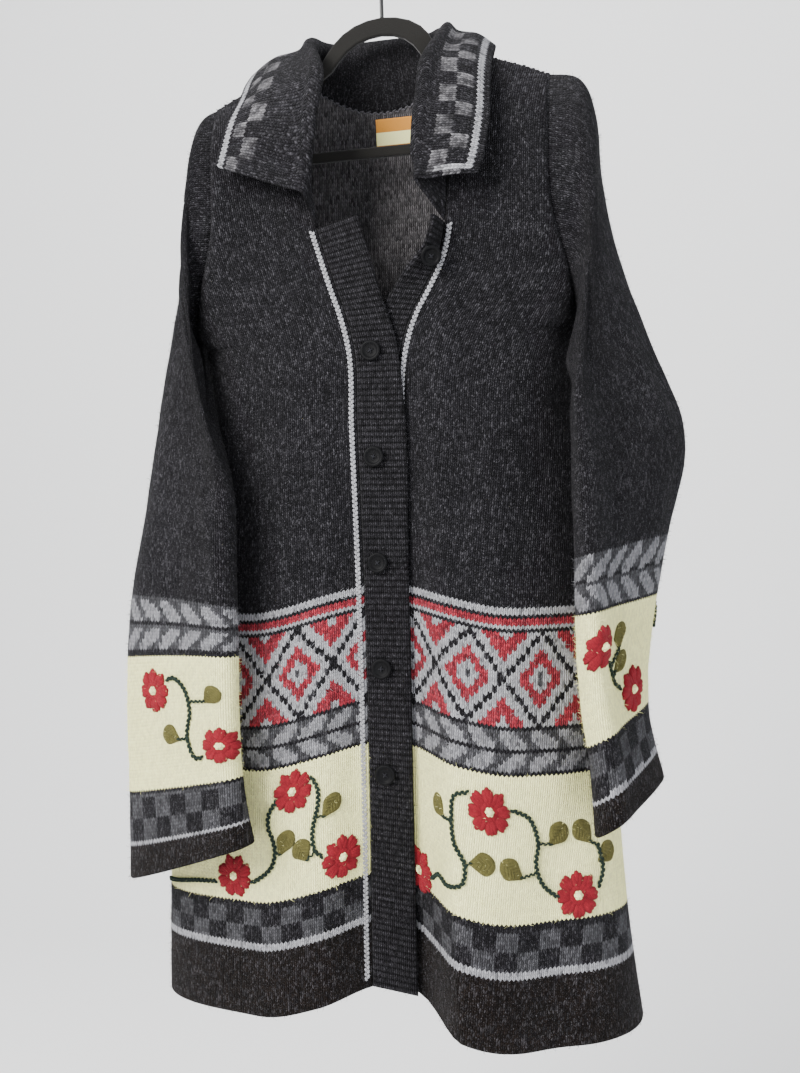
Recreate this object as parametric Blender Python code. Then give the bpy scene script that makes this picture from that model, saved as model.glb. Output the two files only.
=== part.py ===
"""A knit sweater jacket hanging on its flat hanger.

Millimetres are used throughout and turned into metres where a mesh is made. The origin is the
inside top of the hanger's hook. +Z is up, -Y is the jacket's front and +X its wearer's left.
Each cloth piece is one wall: a middle surface worked out from the tables below, with an outer
and an inner skin half a wall away from it. The crocheted flowers, leaves and vines are raised
in the outer skin only.
"""

import math
from collections import namedtuple

import bmesh
import bpy
import numpy as np
from mathutils import Vector
from mathutils.geometry import delaunay_2d_cdt

MM = 0.001
WALL = 4.0
SEAM_GAP = 0.3
NECK_GAP, CORNER_GAP = 0.6, 0.9
RIGHT, LEFT = -1, 1

# Body
HEM_Z = -964.0
HEM_SAG, SAG_WIDTH = 24.0, 125.0
LEFT_DROP, LEFT_DROP_WIDTH, LEFT_DROP_TOP = 15.0, 40.0, 330.0
UNDERARM, ARMHOLE_TOP = 616.0, 851.0
ARMHOLE_HALF_DEPTH = 30.0
NECK_X, NECK_Z, BACK_NECK_Z = 80.0, -109.0, -147.0
RIDGE_DROP = 60.0
SQUARENESS, EDGE_SHARPNESS = 2.3, 6

BodyRow = namedtuple("BodyRow", "height right left front_right front_left back centre")
BODY = (
    BodyRow(0, 234, 216, 88, 108, 56, 55),
    BodyRow(90, 231, 206, 86, 99, 54, 56),
    BodyRow(190, 226, 200, 82, 88, 52, 57),
    BodyRow(370, 196, 190, 74, 78, 48, 58),
    BodyRow(500, 178, 178, 66, 68, 44, 59),
    BodyRow(600, 166, 167, 58, 60, 40, 56),
    BodyRow(616, 172, 173, 56, 58, 39, 55),
    BodyRow(734, 158, 160, 42, 44, 33, 46),
    BodyRow(851, 160, 160, 29, 30, 27, 34),
    BodyRow(890, 160, 160, 26, 27, 25, 30),
)

# Soft vertical folds: where each lies across, how wide, how far it stands out, and its reach
Fold = namedtuple("Fold", "across width height bottom top")
FRONT_FOLDS = (
    Fold(-105, 30, 5, -200, 330),
    Fold(88, 34, 9, -260, 300),
    Fold(150, 22, -6, -200, 260),
    Fold(-62, 14, -4, 330, 560),
    Fold(70, 16, -4, 300, 560),
)
BACK_FOLDS = (
    Fold(-120, 30, 9, -300, 420),
    Fold(-52, 26, -6, -260, 380),
    Fold(28, 32, 8, -340, 460),
    Fold(96, 24, -7, -260, 340),
    Fold(150, 26, 6, -240, 300),
)

# Shoulder ridge over the hanger's arm, by distance from the middle
RIDGE_X = (40.0, 80.0, 110.0, 140.0, 160.0, 175.0)
RIDGE_Z = (-104.0, -109.0, -117.0, -128.0, -137.0, -145.0)

# Where each front's inner edge runs, by height above the hem
EdgeRow = namedtuple("EdgeRow", "height right left")
FRONT_EDGE = (
    EdgeRow(-60, -22, 2),
    EdgeRow(0, -22, 2),
    EdgeRow(170, -18, 2),
    EdgeRow(370, -16, 6),
    EdgeRow(510, -17, 17),
    EdgeRow(580, -18, 24),
    EdgeRow(608, -24, 33),
    EdgeRow(640, -34, 49),
    EdgeRow(667, -42, 60),
    EdgeRow(704, -53, 67),
    EdgeRow(744, -61, 69),
    EdgeRow(795, -69, 71),
    EdgeRow(838, -75, 75),
    EdgeRow(869, -80, 80),
    EdgeRow(910, -86, 86),
)
NECK_END = 704.0

# Button bands: the free edge, by height above the hem
UNDER_BAND_STEP = 7.0
BandRow = namedtuple("BandRow", "height x y")
TOP_BAND_FREE = (
    BandRow(0, 20, -56),
    BandRow(170, 22, -57),
    BandRow(370, 25, -58),
    BandRow(560, 24, -58),
    BandRow(584, 21, -57),
    BandRow(627, 8, -55),
    BandRow(664, -2, -53),
    BandRow(700, -12, -52),
)
UNDER_BAND_FREE = (
    BandRow(0, -39, -48),
    BandRow(170, -39, -49),
    BandRow(370, -35, -50),
    BandRow(510, -24, -51),
    BandRow(575, -17, -48),
    BandRow(604, -2, -46),
    BandRow(630, 16, -50),
    BandRow(652, 34, -64),
    BandRow(667, 48, -73),
    BandRow(694, 59, -71),
)
RIB_PITCH, RIB_HEIGHT = 5.4, 0.9

# Collar, from the wearer's right front end, 0, by the neck points at the shoulders, 1 and 2, to
# the left front end, 3: its roll and its edge, the roll's radius and the seam's bisector
CollarRow = namedtuple("CollarRow", "at roll edge radius mitre")
COLLAR = (
    CollarRow(0.0, (-60, -68, -243), (-147, -54, -207), 5, (-0.35, -0.93, 0.1)),
    CollarRow(0.25, (-58, -66, -212), (-143, -50, -190), 5, (-0.4, -0.9, 0.1)),
    CollarRow(0.56, (-55, -58, -162), (-137, -43, -165), 7, (-0.5, -0.8, 0.2)),
    CollarRow(0.82, (-53, -37, -112), (-131, -22, -137), 8, (-0.6, -0.6, 0.5)),
    CollarRow(0.91, (-60, -20, -95), (-129, -5, -116), 8, (-0.6, -0.3, 0.7)),
    CollarRow(1.0, (-67, -2, -80), (-123, 12, -101), 8, (-0.6, 0, 0.8)),
    CollarRow(1.2, (-48, 27, -76), (-84, 46, -152), 9, (-0.25, 0.95, 0.15)),
    CollarRow(1.5, (0, 37, -73), (0, 56, -176), 9, (0, 1, 0)),
    CollarRow(1.8, (50, 27, -75), (84, 46, -150), 9, (0.25, 0.95, 0.15)),
    CollarRow(2.0, (69, -2, -79), (112, 12, -101), 8, (0.6, 0, 0.8)),
    CollarRow(2.09, (66, -20, -94), (112, -6, -112), 8, (0.6, -0.3, 0.7)),
    CollarRow(2.18, (61, -38, -110), (112, -27, -132), 8, (0.6, -0.6, 0.5)),
    CollarRow(2.44, (54, -58, -160), (112, -48, -180), 7, (0.5, -0.8, 0.2)),
    CollarRow(2.75, (48, -67, -214), (107, -60, -222), 5, (0.4, -0.9, 0.1)),
    CollarRow(3.0, (46, -72, -242), (101, -62, -238), 4, (0.35, -0.93, 0.1)),
)

# Sleeves, armhole to cuff: the outer and the inner fold of each ring and its half thickness
SleeveRow = namedtuple("SleeveRow", "outer inner thick")
SLEEVE_RIGHT = (
    SleeveRow((-160, 0, -137), (-168, 0, -352), 30),
    SleeveRow((-173, -3, -147), (-192, -8, -362), 30),
    SleeveRow((-180, -6, -177), (-193, -30, -388), 26),
    SleeveRow((-184, -10, -230), (-176, -56, -424), 24),
    SleeveRow((-195, -14, -312), (-150, -77, -464), 21),
    SleeveRow((-213, -20, -410), (-131, -92, -510), 19),
    SleeveRow((-230, -30, -520), (-128, -99, -575), 17),
    SleeveRow((-247, -38, -610), (-127, -103, -645), 16),
    SleeveRow((-252, -44, -700), (-127, -107, -712), 16),
    SleeveRow((-250, -50, -790), (-124, -111, -772), 17),
    SleeveRow((-249, -56, -870), (-114, -116, -824), 20),
)
SLEEVE_LEFT = (
    SleeveRow((162, 0, -137), (173, 0, -372), 30),
    SleeveRow((190, 0, -146), (188, -14, -388), 30),
    SleeveRow((203, 2, -182), (190, -36, -406), 28),
    SleeveRow((206, 4, -246), (187, -60, -426), 25),
    SleeveRow((219, 6, -318), (180, -80, -452), 23),
    SleeveRow((245, 6, -396), (180, -90, -500), 22),
    SleeveRow((270, 4, -478), (180, -96, -560), 21),
    SleeveRow((248, 2, -575), (180, -100, -630), 20),
    SleeveRow((231, 0, -655), (183, -104, -695), 19),
    SleeveRow((225, -4, -728), (191, -108, -752), 18),
    SleeveRow((236, -8, -786), (194, -112, -812), 20),
)
CAP_FADE = 0.16

SleeveFold = namedtuple("SleeveFold", "angle width height start end drift")
FOLDS_RIGHT = (
    SleeveFold(112, 26, -5, 0.2, 0.62, 18),
    SleeveFold(60, 22, 4, 0.3, 0.8, -10),
    SleeveFold(150, 20, 3, 0.45, 1.1, 0),
    SleeveFold(280, 26, -5, 0.2, 0.9, 20),
)
FOLDS_LEFT = (
    SleeveFold(104, 30, -10, 0.2, 0.95, 6),
    SleeveFold(146, 22, 6, 0.25, 1.2, 0),
    SleeveFold(40, 26, -5, 0.35, 0.75, 24),
    SleeveFold(270, 28, -6, 0.2, 0.9, -20),
)

# Counts of columns and rows
FRONT_SHARES = (0, 0.055, 0.09, 0.125, 0.165, 0.23, 0.31, 0.4, 0.51, 0.63, 0.76, 0.89, 1)
BACK_COLUMNS = 8
ARMHOLE_ROWS = 10
BODY_ROWS = (0, 46, 90, 134, 180, 226, 280, 345, 415, 485, 550, 596)
SLEEVE_ROWS = (0, 0.05, 0.11, 0.2, 0.3, 0.4, 0.5, 0.6, 0.67, 0.715, 0.83, 0.94, 1.0)

# Raised work: which rows of the grids hold it
MOTIF_ROWS = (BODY_ROWS.index(90), BODY_ROWS.index(226))
SLEEVE_MOTIF_ROWS = (9, 11)
MEETING_HEIGHT = 1.3
BETWEEN_ROWS = (0.33, 0.67)
SLEEVE_SQUARENESS = 2.4
SLEEVE_SEAM = 216.0

# Where the raised work lies on each panel, in millimetres. On a front, across runs from its inner
# edge, on the back from its middle, and on a sleeve round it from the seam. Up is from the hem or
# the cuff. A flower or a leaf is turned in degrees, and a leaf's narrow end points that way.
Motif = namedtuple("Motif", "across up turn")
FLOWERS = {
    "front_right": (Motif(76, 198, 10), Motif(29, 127, 0), Motif(136, 125, 20)),
    "front_left": (Motif(117, 191, 5), Motif(25, 115, 15), Motif(194, 122, 0)),
    "back": (
        Motif(-196, 128, 0), Motif(-120, 194, 12), Motif(-44, 122, 5), Motif(34, 192, 0),
        Motif(108, 126, 18), Motif(180, 190, 8),
    ),
    "sleeve_right": (Motif(194, 157, 10), Motif(274, 114, 0), Motif(46, 130, 5)),
    "sleeve_left": (Motif(232, 152, 0), Motif(178, 92, 12), Motif(50, 125, 0)),
}
LEAVES = {
    "front_right": (Motif(40, 176, -49), Motif(83, 154, -63), Motif(66, 143, -120)),
    "front_left": (
        Motif(63, 182, -37), Motif(109, 149, -171), Motif(135, 146, -35), Motif(179, 172, -134),
        Motif(203, 172, -54), Motif(226, 152, -150),
    ),
    "back": (
        Motif(-164, 192, -30), Motif(-148, 148, 200), Motif(-92, 146, -20), Motif(-70, 188, -140),
        Motif(-4, 148, 200), Motif(62, 150, -20), Motif(84, 192, -140), Motif(146, 150, 200),
    ),
    "sleeve_right": (Motif(266, 165, -135), Motif(217, 120, -18), Motif(92, 125, 150)),
    "sleeve_left": (Motif(196, 148, -90), Motif(196, 124, -20), Motif(96, 120, 150)),
}
VINES = {
    "front_right": (
        ((230, 108), (205, 112), (181, 116), (157, 118)),
        ((115, 121), (104, 127), (95, 135), (92, 145), (94, 158), (99, 171), (98, 183), (92, 192)),
        ((57, 206), (52, 194), (52, 178), (55, 165), (56, 150), (53, 139), (48, 134)),
    ),
    "front_left": (
        ((46, 117), (58, 125), (77, 123), (91, 129), (94, 145), (86, 159), (84, 178), (88, 199), (98, 203)),
        ((138, 194), (152, 188), (160, 168), (157, 148), (163, 132), (175, 122)),
        ((214, 127), (220, 139), (216, 160)),
    ),
    "back": (
        ((-176, 137), (-168, 158), (-158, 176), (-140, 186)),
        ((-100, 186), (-86, 170), (-80, 150), (-65, 126)),
        ((-24, 131), (-12, 164), (2, 182), (14, 190)),
        ((54, 184), (70, 168), (76, 148), (88, 130)),
        ((128, 133), (136, 160), (146, 178), (160, 184)),
    ),
    "sleeve_right": (
        ((212, 170), (219, 173), (235, 165), (241, 147), (238, 118), (248, 100), (254, 101)),
        ((64, 143), (74, 160), (92, 168), (116, 158), (130, 134)),
    ),
    "sleeve_left": (
        ((220, 133), (215, 124), (209, 112), (199, 103)),
        ((69, 136), (78, 154), (96, 162), (116, 152), (128, 128)),
    ),
}

# Buttons and the hanger's hook
BUTTON_X, BUTTON_TOP, BUTTON_STEP, BUTTON_SIDES = -2.0, -389.0, 95.8, 16
Label = namedtuple("Label", "left right bottom top thick")
LABEL = Label(-9.0, 30.0, -179.0, -152.0, 0.8)
SIZE_TAG = Label(31.5, 38.0, -171.0, -158.0, 0.6)
LABEL_COLUMNS, LABEL_ROWS, LABEL_GAP = 5, 4, 0.5
OPEN_BUTTON_Z, OPEN_BUTTON_GAP = -309.0, 4.9
ARM_DROP = (3.6, 3.0, 3.4, 5.0, 7.5, 12.0)
ARCH_LEAN = 6.0
HOOK_INNER, HOOK_WIRE = 17.0, 3.8

COLOURS = {
    "wool": (0.028, 0.028, 0.034),
    "band": (0.022, 0.022, 0.027),
    "button": (0.012, 0.012, 0.014),
    "label": (0.62, 0.27, 0.05),
    "tag": (0.42, 0.26, 0.16),
    "flocked": (0.02, 0.02, 0.018),
    "hook": (0.03, 0.03, 0.03),
}
FINISH = {
    "wool": (0.95, 0.0),
    "band": (0.95, 0.0),
    "button": (0.35, 0.0),
    "label": (0.7, 0.0),
    "tag": (0.7, 0.0),
    "flocked": (0.9, 0.0),
    "hook": (0.4, 0.9),
}


def smoothstep(t):
    t = np.clip(t, 0.0, 1.0)
    return t * t * (3.0 - 2.0 * t)


def unit(vectors):
    vectors = np.asarray(vectors, float)
    return vectors / np.maximum(np.linalg.norm(vectors, axis=-1, keepdims=True), 1e-9)


def spline(knots, values, at):
    """A smooth curve through rows of values at rising knots."""
    knots = np.asarray(knots, float)
    values = np.asarray(values, float)
    slopes = np.gradient(values, knots, axis=0)
    at = np.clip(np.asarray(at, float), knots[0], knots[-1])
    low = np.clip(np.searchsorted(knots, at, side="right") - 1, 0, len(knots) - 2)
    width = knots[low + 1] - knots[low]
    t = (at - knots[low]) / width
    extra = (1,) * (values.ndim - 1)
    t = t.reshape(t.shape + extra)
    width = width.reshape(width.shape + extra)
    start = (2 * t**3 - 3 * t**2 + 1) * values[low]
    end = (3 * t**2 - 2 * t**3) * values[low + 1]
    leave = (t**3 - 2 * t**2 + t) * width * slopes[low]
    arrive = (t**3 - t**2) * width * slopes[low + 1]
    return start + end + leave + arrive


def column_of(rows, name):
    return [getattr(row, name) for row in rows]


def body_value(name, height):
    return spline(column_of(BODY, "height"), column_of(BODY, name), height)


def sag(x, height):
    """How far a level of the knit hangs below its height at the middle, more on the wearer's left."""
    left = LEFT_DROP * smoothstep(x / LEFT_DROP_WIDTH) * (1 - smoothstep(height / LEFT_DROP_TOP))
    return HEM_SAG * smoothstep(np.abs(x) / SAG_WIDTH) + left


def back_sag(x, height):
    """The back hangs level from side seam to side seam."""
    right, left = sag(-SAG_WIDTH, height), sag(SAG_WIDTH, height)
    return right + (left - right) * smoothstep(x / (2 * SAG_WIDTH) + 0.5)


def drop_below_ridge(x, z):
    ridge = np.interp(np.abs(x), RIDGE_X, RIDGE_Z)
    return np.maximum(ridge - z, 0.0)


def armhole_opening(height):
    """Half the gap between front and back along the armhole, nothing at and below the underarm."""
    middle = (UNDERARM + ARMHOLE_TOP) / 2
    reach = (ARMHOLE_TOP - UNDERARM) / 2
    return ARMHOLE_HALF_DEPTH * np.sqrt(np.clip(1 - ((height - middle) / reach) ** 2, 0, 1))


def folds_at(folds, x, height):
    """How far the soft folds stand out."""
    out = np.zeros(np.broadcast(x, height).shape)
    for fold in folds:
        middle = (fold.bottom + fold.top) / 2
        reach = (fold.top - fold.bottom) / 2
        along = smoothstep((1 - np.abs(height - middle) / reach) * 1.6)
        out = out + fold.height * along * np.exp(-(((x - fold.across) / fold.width) ** 2))
    return out


def half_width(side, height):
    return body_value("right" if side < 0 else "left", height)


def front_depth(side, x, height):
    """How far the front's middle surface lies in front of the hanger's plane."""
    width = half_width(side, height)
    reach = body_value("front_right" if side < 0 else "front_left", height)
    opening = armhole_opening(height)
    rounding = np.clip(1 - np.clip(x / (side * width), 0, 1) ** SQUARENESS, 0, 1) ** (1 / SQUARENESS)
    edge = opening * np.clip(x / (side * width), 0, 1) ** EDGE_SHARPNESS
    panel = (reach + folds_at(FRONT_FOLDS, x, height)) * rounding + edge
    step = 0.0 if side < 0 else UNDER_BAND_STEP
    middle = body_value("centre", height) - step
    start = 18.0 if side < 0 else 24.0
    out = smoothstep((side * x - start) / 46.0)
    out = np.maximum(out, smoothstep((height - 630) / 80.0))
    return middle + (panel - middle) * out


def ridge_rounding(x, z):
    q = np.clip(drop_below_ridge(x, z) / RIDGE_DROP, 0, 1)
    return np.sqrt(1 - (1 - q) ** 2)


def front_point(side, x, height):
    z = HEM_Z + height - sag(x, height)
    y = -front_depth(side, x, height) * ridge_rounding(x, z)
    return np.stack(np.broadcast_arrays(x, y, z), -1)


def back_point(x, height):
    width = np.where(x < 0, half_width(RIGHT, height), half_width(LEFT, height))
    reach = body_value("back", height) + folds_at(BACK_FOLDS, x, height)
    opening = armhole_opening(height)
    rounding = np.clip(1 - np.clip(np.abs(x) / width, 0, 1) ** SQUARENESS, 0, 1) ** (1 / SQUARENESS)
    z = HEM_Z + height - back_sag(x, height)
    edge = opening * np.clip(np.abs(x) / width, 0, 1) ** EDGE_SHARPNESS
    y = (reach * rounding + edge) * ridge_rounding(x, z)
    return np.stack(np.broadcast_arrays(x, y, z), -1)


def height_of(x, z, hang=sag):
    """The height above the hem of a place in the upper body."""
    return z - HEM_Z + hang(x, LEFT_DROP_TOP)


def around(share, inner, width):
    """Where a column lies across: even steps of angle round the rounded section."""
    ratio = np.clip(np.abs(inner) / width, 0, 1) ** (SQUARENESS / 2)
    angle = np.arccos(ratio) * (1 - share)
    return width * np.cos(angle) ** (2 / SQUARENESS)


def front_edge(side, height):
    name = "right" if side < 0 else "left"
    return spline(column_of(FRONT_EDGE, "height"), column_of(FRONT_EDGE, name), height)


def front_surface(side, share, height):
    """Middle surface of a front: share runs from its inner edge, 0, to its side or armhole, 1."""
    inner = front_edge(side, height)
    return front_point(side, side * around(share, inner, half_width(side, height)), height)


def back_surface(share, height):
    """Middle surface of the back: share runs from -1 at the wearer's right to 1 at the left."""
    side = np.where(share < 0, RIGHT, LEFT)
    width = np.where(share < 0, half_width(RIGHT, height), half_width(LEFT, height))
    x = side * width * np.sin(np.abs(share) * math.pi / 2) ** (2 / SQUARENESS)
    return back_point(x, height)


def armhole_share(count=ARMHOLE_ROWS):
    """Heights up an armhole, as shares, close together at both ends."""
    return (1 - np.cos(np.linspace(0, math.pi, count + 1))) / 2


def normals_of(surface, a, b, step_a, step_b):
    """Unit normals of a surface of two values, by small steps."""
    across = surface(a + step_a, b) - surface(a - step_a, b)
    along = surface(a, b + step_b) - surface(a, b - step_b)
    return unit(np.cross(across, along))


def armhole_mitre(side, height, facing=-1):
    """The seam's bisector at the armhole, away from its middle: facing is -1 in front, 1 behind."""
    middle = (UNDERARM + ARMHOLE_TOP) / 2
    reach = (ARMHOLE_TOP - UNDERARM) / 2
    t = np.clip((height - middle) / reach, -1, 1)
    level = facing * np.sqrt(1 - t**2) / ARMHOLE_HALF_DEPTH
    lean = side * 0.35 * np.maximum(t, 0) ** 4 / reach
    return unit(np.stack([lean, level, t / reach], -1))


def material(name):
    found = bpy.data.materials.get(name)
    if found:
        return found
    made = bpy.data.materials.new(name)
    made.use_nodes = True
    shader = made.node_tree.nodes["Principled BSDF"]
    shader.inputs["Base Color"].default_value = (*COLOURS[name], 1)
    shader.inputs["Roughness"].default_value = FINISH[name][0]
    shader.inputs["Metallic"].default_value = FINISH[name][1]
    made.diffuse_color = (*COLOURS[name], 1)
    return made


def add_mesh(name, points, faces, finish):
    """One object from points in millimetres, its normals turned outwards."""
    mesh = bpy.data.meshes.new(name)
    mesh.from_pydata([Vector(p) * MM for p in points], [], [list(map(int, f)) for f in faces])
    made = bmesh.new()
    made.from_mesh(mesh)
    bmesh.ops.recalc_face_normals(made, faces=made.faces)
    made.to_mesh(mesh)
    made.free()
    mesh.shade_smooth()
    mesh.materials.append(material(finish))
    obj = bpy.data.objects.new(name, mesh)
    bpy.context.scene.collection.objects.link(obj)
    return obj


# Motifs: outlines in millimetres on the cloth, with the height of each point


def crochet_flower(x, y, turn, radius=20.0, petals=8):
    """A ring of rounded petals round a low middle."""
    outline = []
    for petal in range(petals):
        for offset, reach in ((-0.5, 0.66), (-0.2, 0.98), (0.2, 1.0)):
            angle = math.radians(turn) + (petal + offset) * math.tau / petals
            outline.append((reach * math.cos(angle), reach * math.sin(angle)))
    inner = [
        (0.4 * math.cos(math.radians(turn) + k * math.tau / petals),
         0.4 * math.sin(math.radians(turn) + k * math.tau / petals))
        for k in range(petals)
    ]
    rings = [
        ([(x + radius * a, y + radius * b) for a, b in outline], 0.0),
        ([(x + (radius - 1.6) * a, y + (radius - 1.6) * b) for a, b in outline], 2.6),
        ([(x + radius * a, y + radius * b) for a, b in inner], 3.2),
    ]
    return rings, [((x, y), 2.2)]


def crochet_leaf(x, y, turn, length=24.0, width=15.0):
    """A teardrop, its point along turn."""
    shape = ((0.5, 0.0), (0.22, 0.36), (-0.12, 0.5), (-0.42, 0.3),
             (-0.42, -0.3), (-0.12, -0.5), (0.22, -0.36))
    c = math.cos(math.radians(turn))
    s = math.sin(math.radians(turn))

    def placed(scale):
        return [
            (x + scale * (length * a * c - width * b * s), y + scale * (length * a * s + width * b * c))
            for a, b in shape
        ]

    return [(placed(1.0), 0.0), (placed(0.72), 2.6)], [((x, y), 3.0)]


def chain_vine(path, width=5.0, height=2.6, step=11.0):
    """A crocheted chain laid along a curve through the points of its path."""
    path = np.asarray(path, float)
    knots = np.concatenate([[0], np.cumsum(np.linalg.norm(np.diff(path, axis=0), axis=1))])
    count = max(2, int(round(knots[-1] / step)))
    at = np.linspace(0, knots[-1], count + 1)
    middle = spline(knots, path, at)
    ahead = unit(spline(knots, path, at + 0.5) - spline(knots, path, at - 0.5))
    beside = np.stack([-ahead[:, 1], ahead[:, 0]], -1) * width / 2
    outline = list(map(tuple, middle + beside)) + list(map(tuple, (middle - beside)[::-1]))
    return [(outline, 0.0)], [(tuple(p), height) for p in middle[1:-1]]


def add_motif(points, heights, edges, motif):
    rings, tops = motif
    for ring, height in rings:
        first = len(points)
        points.extend(ring)
        heights.extend([height] * len(ring))
        edges.extend((first + k, first + (k + 1) % len(ring)) for k in range(len(ring)))
    first = len(points)
    points.extend(p for p, _ in tops)
    heights.extend(h for _, h in tops)
    edges.extend((first + k, first + k + 1) for k in range(len(tops) - 1))


def motifs_of(name):
    """The raised work of one panel."""
    made = [crochet_flower(*motif) for motif in FLOWERS[name]]
    made += [crochet_leaf(*motif) for motif in LEAVES[name]]
    return made + [chain_vine(path) for path in VINES[name]]


def near_motif(point, motifs, margin=3.0):
    for rings, _ in motifs:
        ring = np.array(rings[0][0])
        gap = ring - np.asarray(point)
        if np.linalg.norm(gap, axis=1).min() < margin:
            return True
        angles = np.unwrap(np.arctan2(gap[:, 1], gap[:, 0]))
        turn = angles[-1] - angles[0]
        closing = (np.arctan2(gap[0, 1], gap[0, 0]) - np.arctan2(gap[-1, 1], gap[-1, 0]) + math.pi)
        closing = closing % math.tau - math.pi
        if abs(turn + closing) > math.pi:
            return True
    return False


class Wall:
    """A cloth wall on a grid of middle points, with a skin on each side and a rim."""

    def __init__(self, middle, offset, closed=False):
        self.rows, self.columns = middle.shape[:2]
        self.closed = closed
        self.points = list((middle + offset * WALL / 2).reshape(-1, 3))
        self.points += list((middle - offset * WALL / 2).reshape(-1, 3))
        self.faces = []
        self.patch = (0, 0)

    def at(self, row, column, skin=0):
        if self.closed:
            column %= self.columns
        return skin * self.rows * self.columns + row * self.columns + column

    def spans(self):
        return range(self.columns if self.closed else self.columns - 1)

    def add_quad(self, *corners):
        self.faces.append(tuple(self.at(*corner) for corner in corners))

    def add_skins(self):
        low, high = self.patch
        for r in range(self.rows - 1):
            for c in self.spans():
                if not low <= r < high:
                    self.add_quad((r, c), (r, c + 1), (r + 1, c + 1), (r + 1, c))
                self.add_quad((r, c, 1), (r + 1, c, 1), (r + 1, c + 1, 1), (r, c + 1, 1))

    def add_rims(self):
        last = self.rows - 1
        for c in self.spans():
            self.add_quad((0, c), (0, c, 1), (0, c + 1, 1), (0, c + 1))
            self.add_quad((last, c), (last, c + 1), (last, c + 1, 1), (last, c, 1))
        if self.closed:
            return
        side = self.columns - 1
        for r in range(last):
            self.add_quad((r, 0), (r + 1, 0), (r + 1, 0, 1), (r, 0, 1))
            self.add_quad((r, side), (r, side, 1), (r + 1, side, 1), (r + 1, side))

    def add_patch(self, low, high, flat, lift, motifs):
        """Gives the outer skin between two rows its raised motifs.

        flat(row, column) is a grid point's place on the flat cloth, and lift(place, out) the
        point in space at a distance out of the middle surface.
        """
        self.patch = (low, high)
        last = self.columns if self.closed else self.columns - 1
        grid, places, target, between = {}, [], [], []
        for row in range(low, high + 1):
            for column in range(last + 1):
                place = flat(row, column)
                edge = row in (low, high) or column in (0, last)
                if edge or not near_motif(place, motifs):
                    grid[row, column] = len(places)
                    places.append(place)
                    target.append(self.at(row, column))
                if row < high and 0 < column < last:
                    above = flat(row + 1, column)
                    for t in BETWEEN_ROWS:
                        spot = (place[0] * (1 - t) + above[0] * t, place[1] * (1 - t) + above[1] * t)
                        if not near_motif(spot, motifs):
                            between.append(spot)
        loop = [(low, c) for c in range(last)] + [(r, last) for r in range(low, high)]
        loop += [(high, c) for c in range(last, 0, -1)] + [(r, 0) for r in range(high, low, -1)]
        edges = [(grid[a], grid[b]) for a, b in zip(loop, loop[1:] + loop[:1])]
        places += between
        heights = [0.0] * len(places)
        for motif in motifs:
            add_motif(places, heights, edges, motif)
        found = delaunay_2d_cdt([Vector(p) for p in places], edges, [], 1, 1e-4)
        index = []
        for place, origin in zip(found[0], found[3]):
            if origin and origin[0] < len(target):
                index.append(target[origin[0]])
                continue
            height = heights[origin[0]] if origin else MEETING_HEIGHT
            index.append(len(self.points))
            self.points.append(lift(place, WALL / 2 + height))
        self.faces += [tuple(index[k] for k in face) for face in found[2]]

    def build(self, name, finish):
        self.add_skins()
        self.add_rims()
        return add_mesh(name, self.points, self.faces, finish)


def tangent_of(points):
    return unit(np.gradient(points, axis=0))


def lengths_along(points):
    return np.concatenate([[0], np.cumsum(np.linalg.norm(np.diff(points, axis=0), axis=1))])


def ridge_height(x):
    return height_of(x, np.interp(np.abs(x), RIDGE_X, RIDGE_Z))


def neck_mitre(at):
    """The neck seam's bisector, by place along the collar."""
    return unit(spline(column_of(COLLAR, "at"), column_of(COLLAR, "mitre"), at))


def fan_rows(top):
    """Heights of a body grid's rows: level below the underarm, then fanned up to the top edge."""
    rows = [np.full_like(top, level) for level in BODY_ROWS]
    rows += [UNDERARM + (top - UNDERARM) * up for up in armhole_share()]
    return np.array(rows)


def shoulder_lean(side):
    """The shoulder seam's bisector, square to the ridge."""
    return unit(np.array([side * 0.35, 0.0, 1.0]))


def patch_tools(surface, facing):
    """The flat cloth's two measures for the motif band, across and up."""
    level = (BODY_ROWS[MOTIF_ROWS[0]] + BODY_ROWS[MOTIF_ROWS[1]]) / 2
    fine = np.linspace(-1, 1, 401) if facing > 0 else np.linspace(0, 1, 201)
    arc = lengths_along(surface(fine, np.full_like(fine, level)))
    if facing > 0:
        arc = arc - arc[200]

    def lift(place, out):
        a = np.array([np.interp(place[0], arc, fine)])
        b = np.array([place[1]])
        normal = normals_of(surface, a, b, 2e-3, 0.5)[0]
        if normal[1] * facing < 0:
            normal = -normal
        return surface(a, b)[0] + normal * out

    return fine, arc, lift


def seam_way(points, offset, inwards):
    """Which way lies across a seam on its wall's side, square to the seam and its bisector."""
    across = unit(np.cross(tangent_of(points), offset))
    return across * np.sign((across * inwards).sum(-1, keepdims=True))


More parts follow.
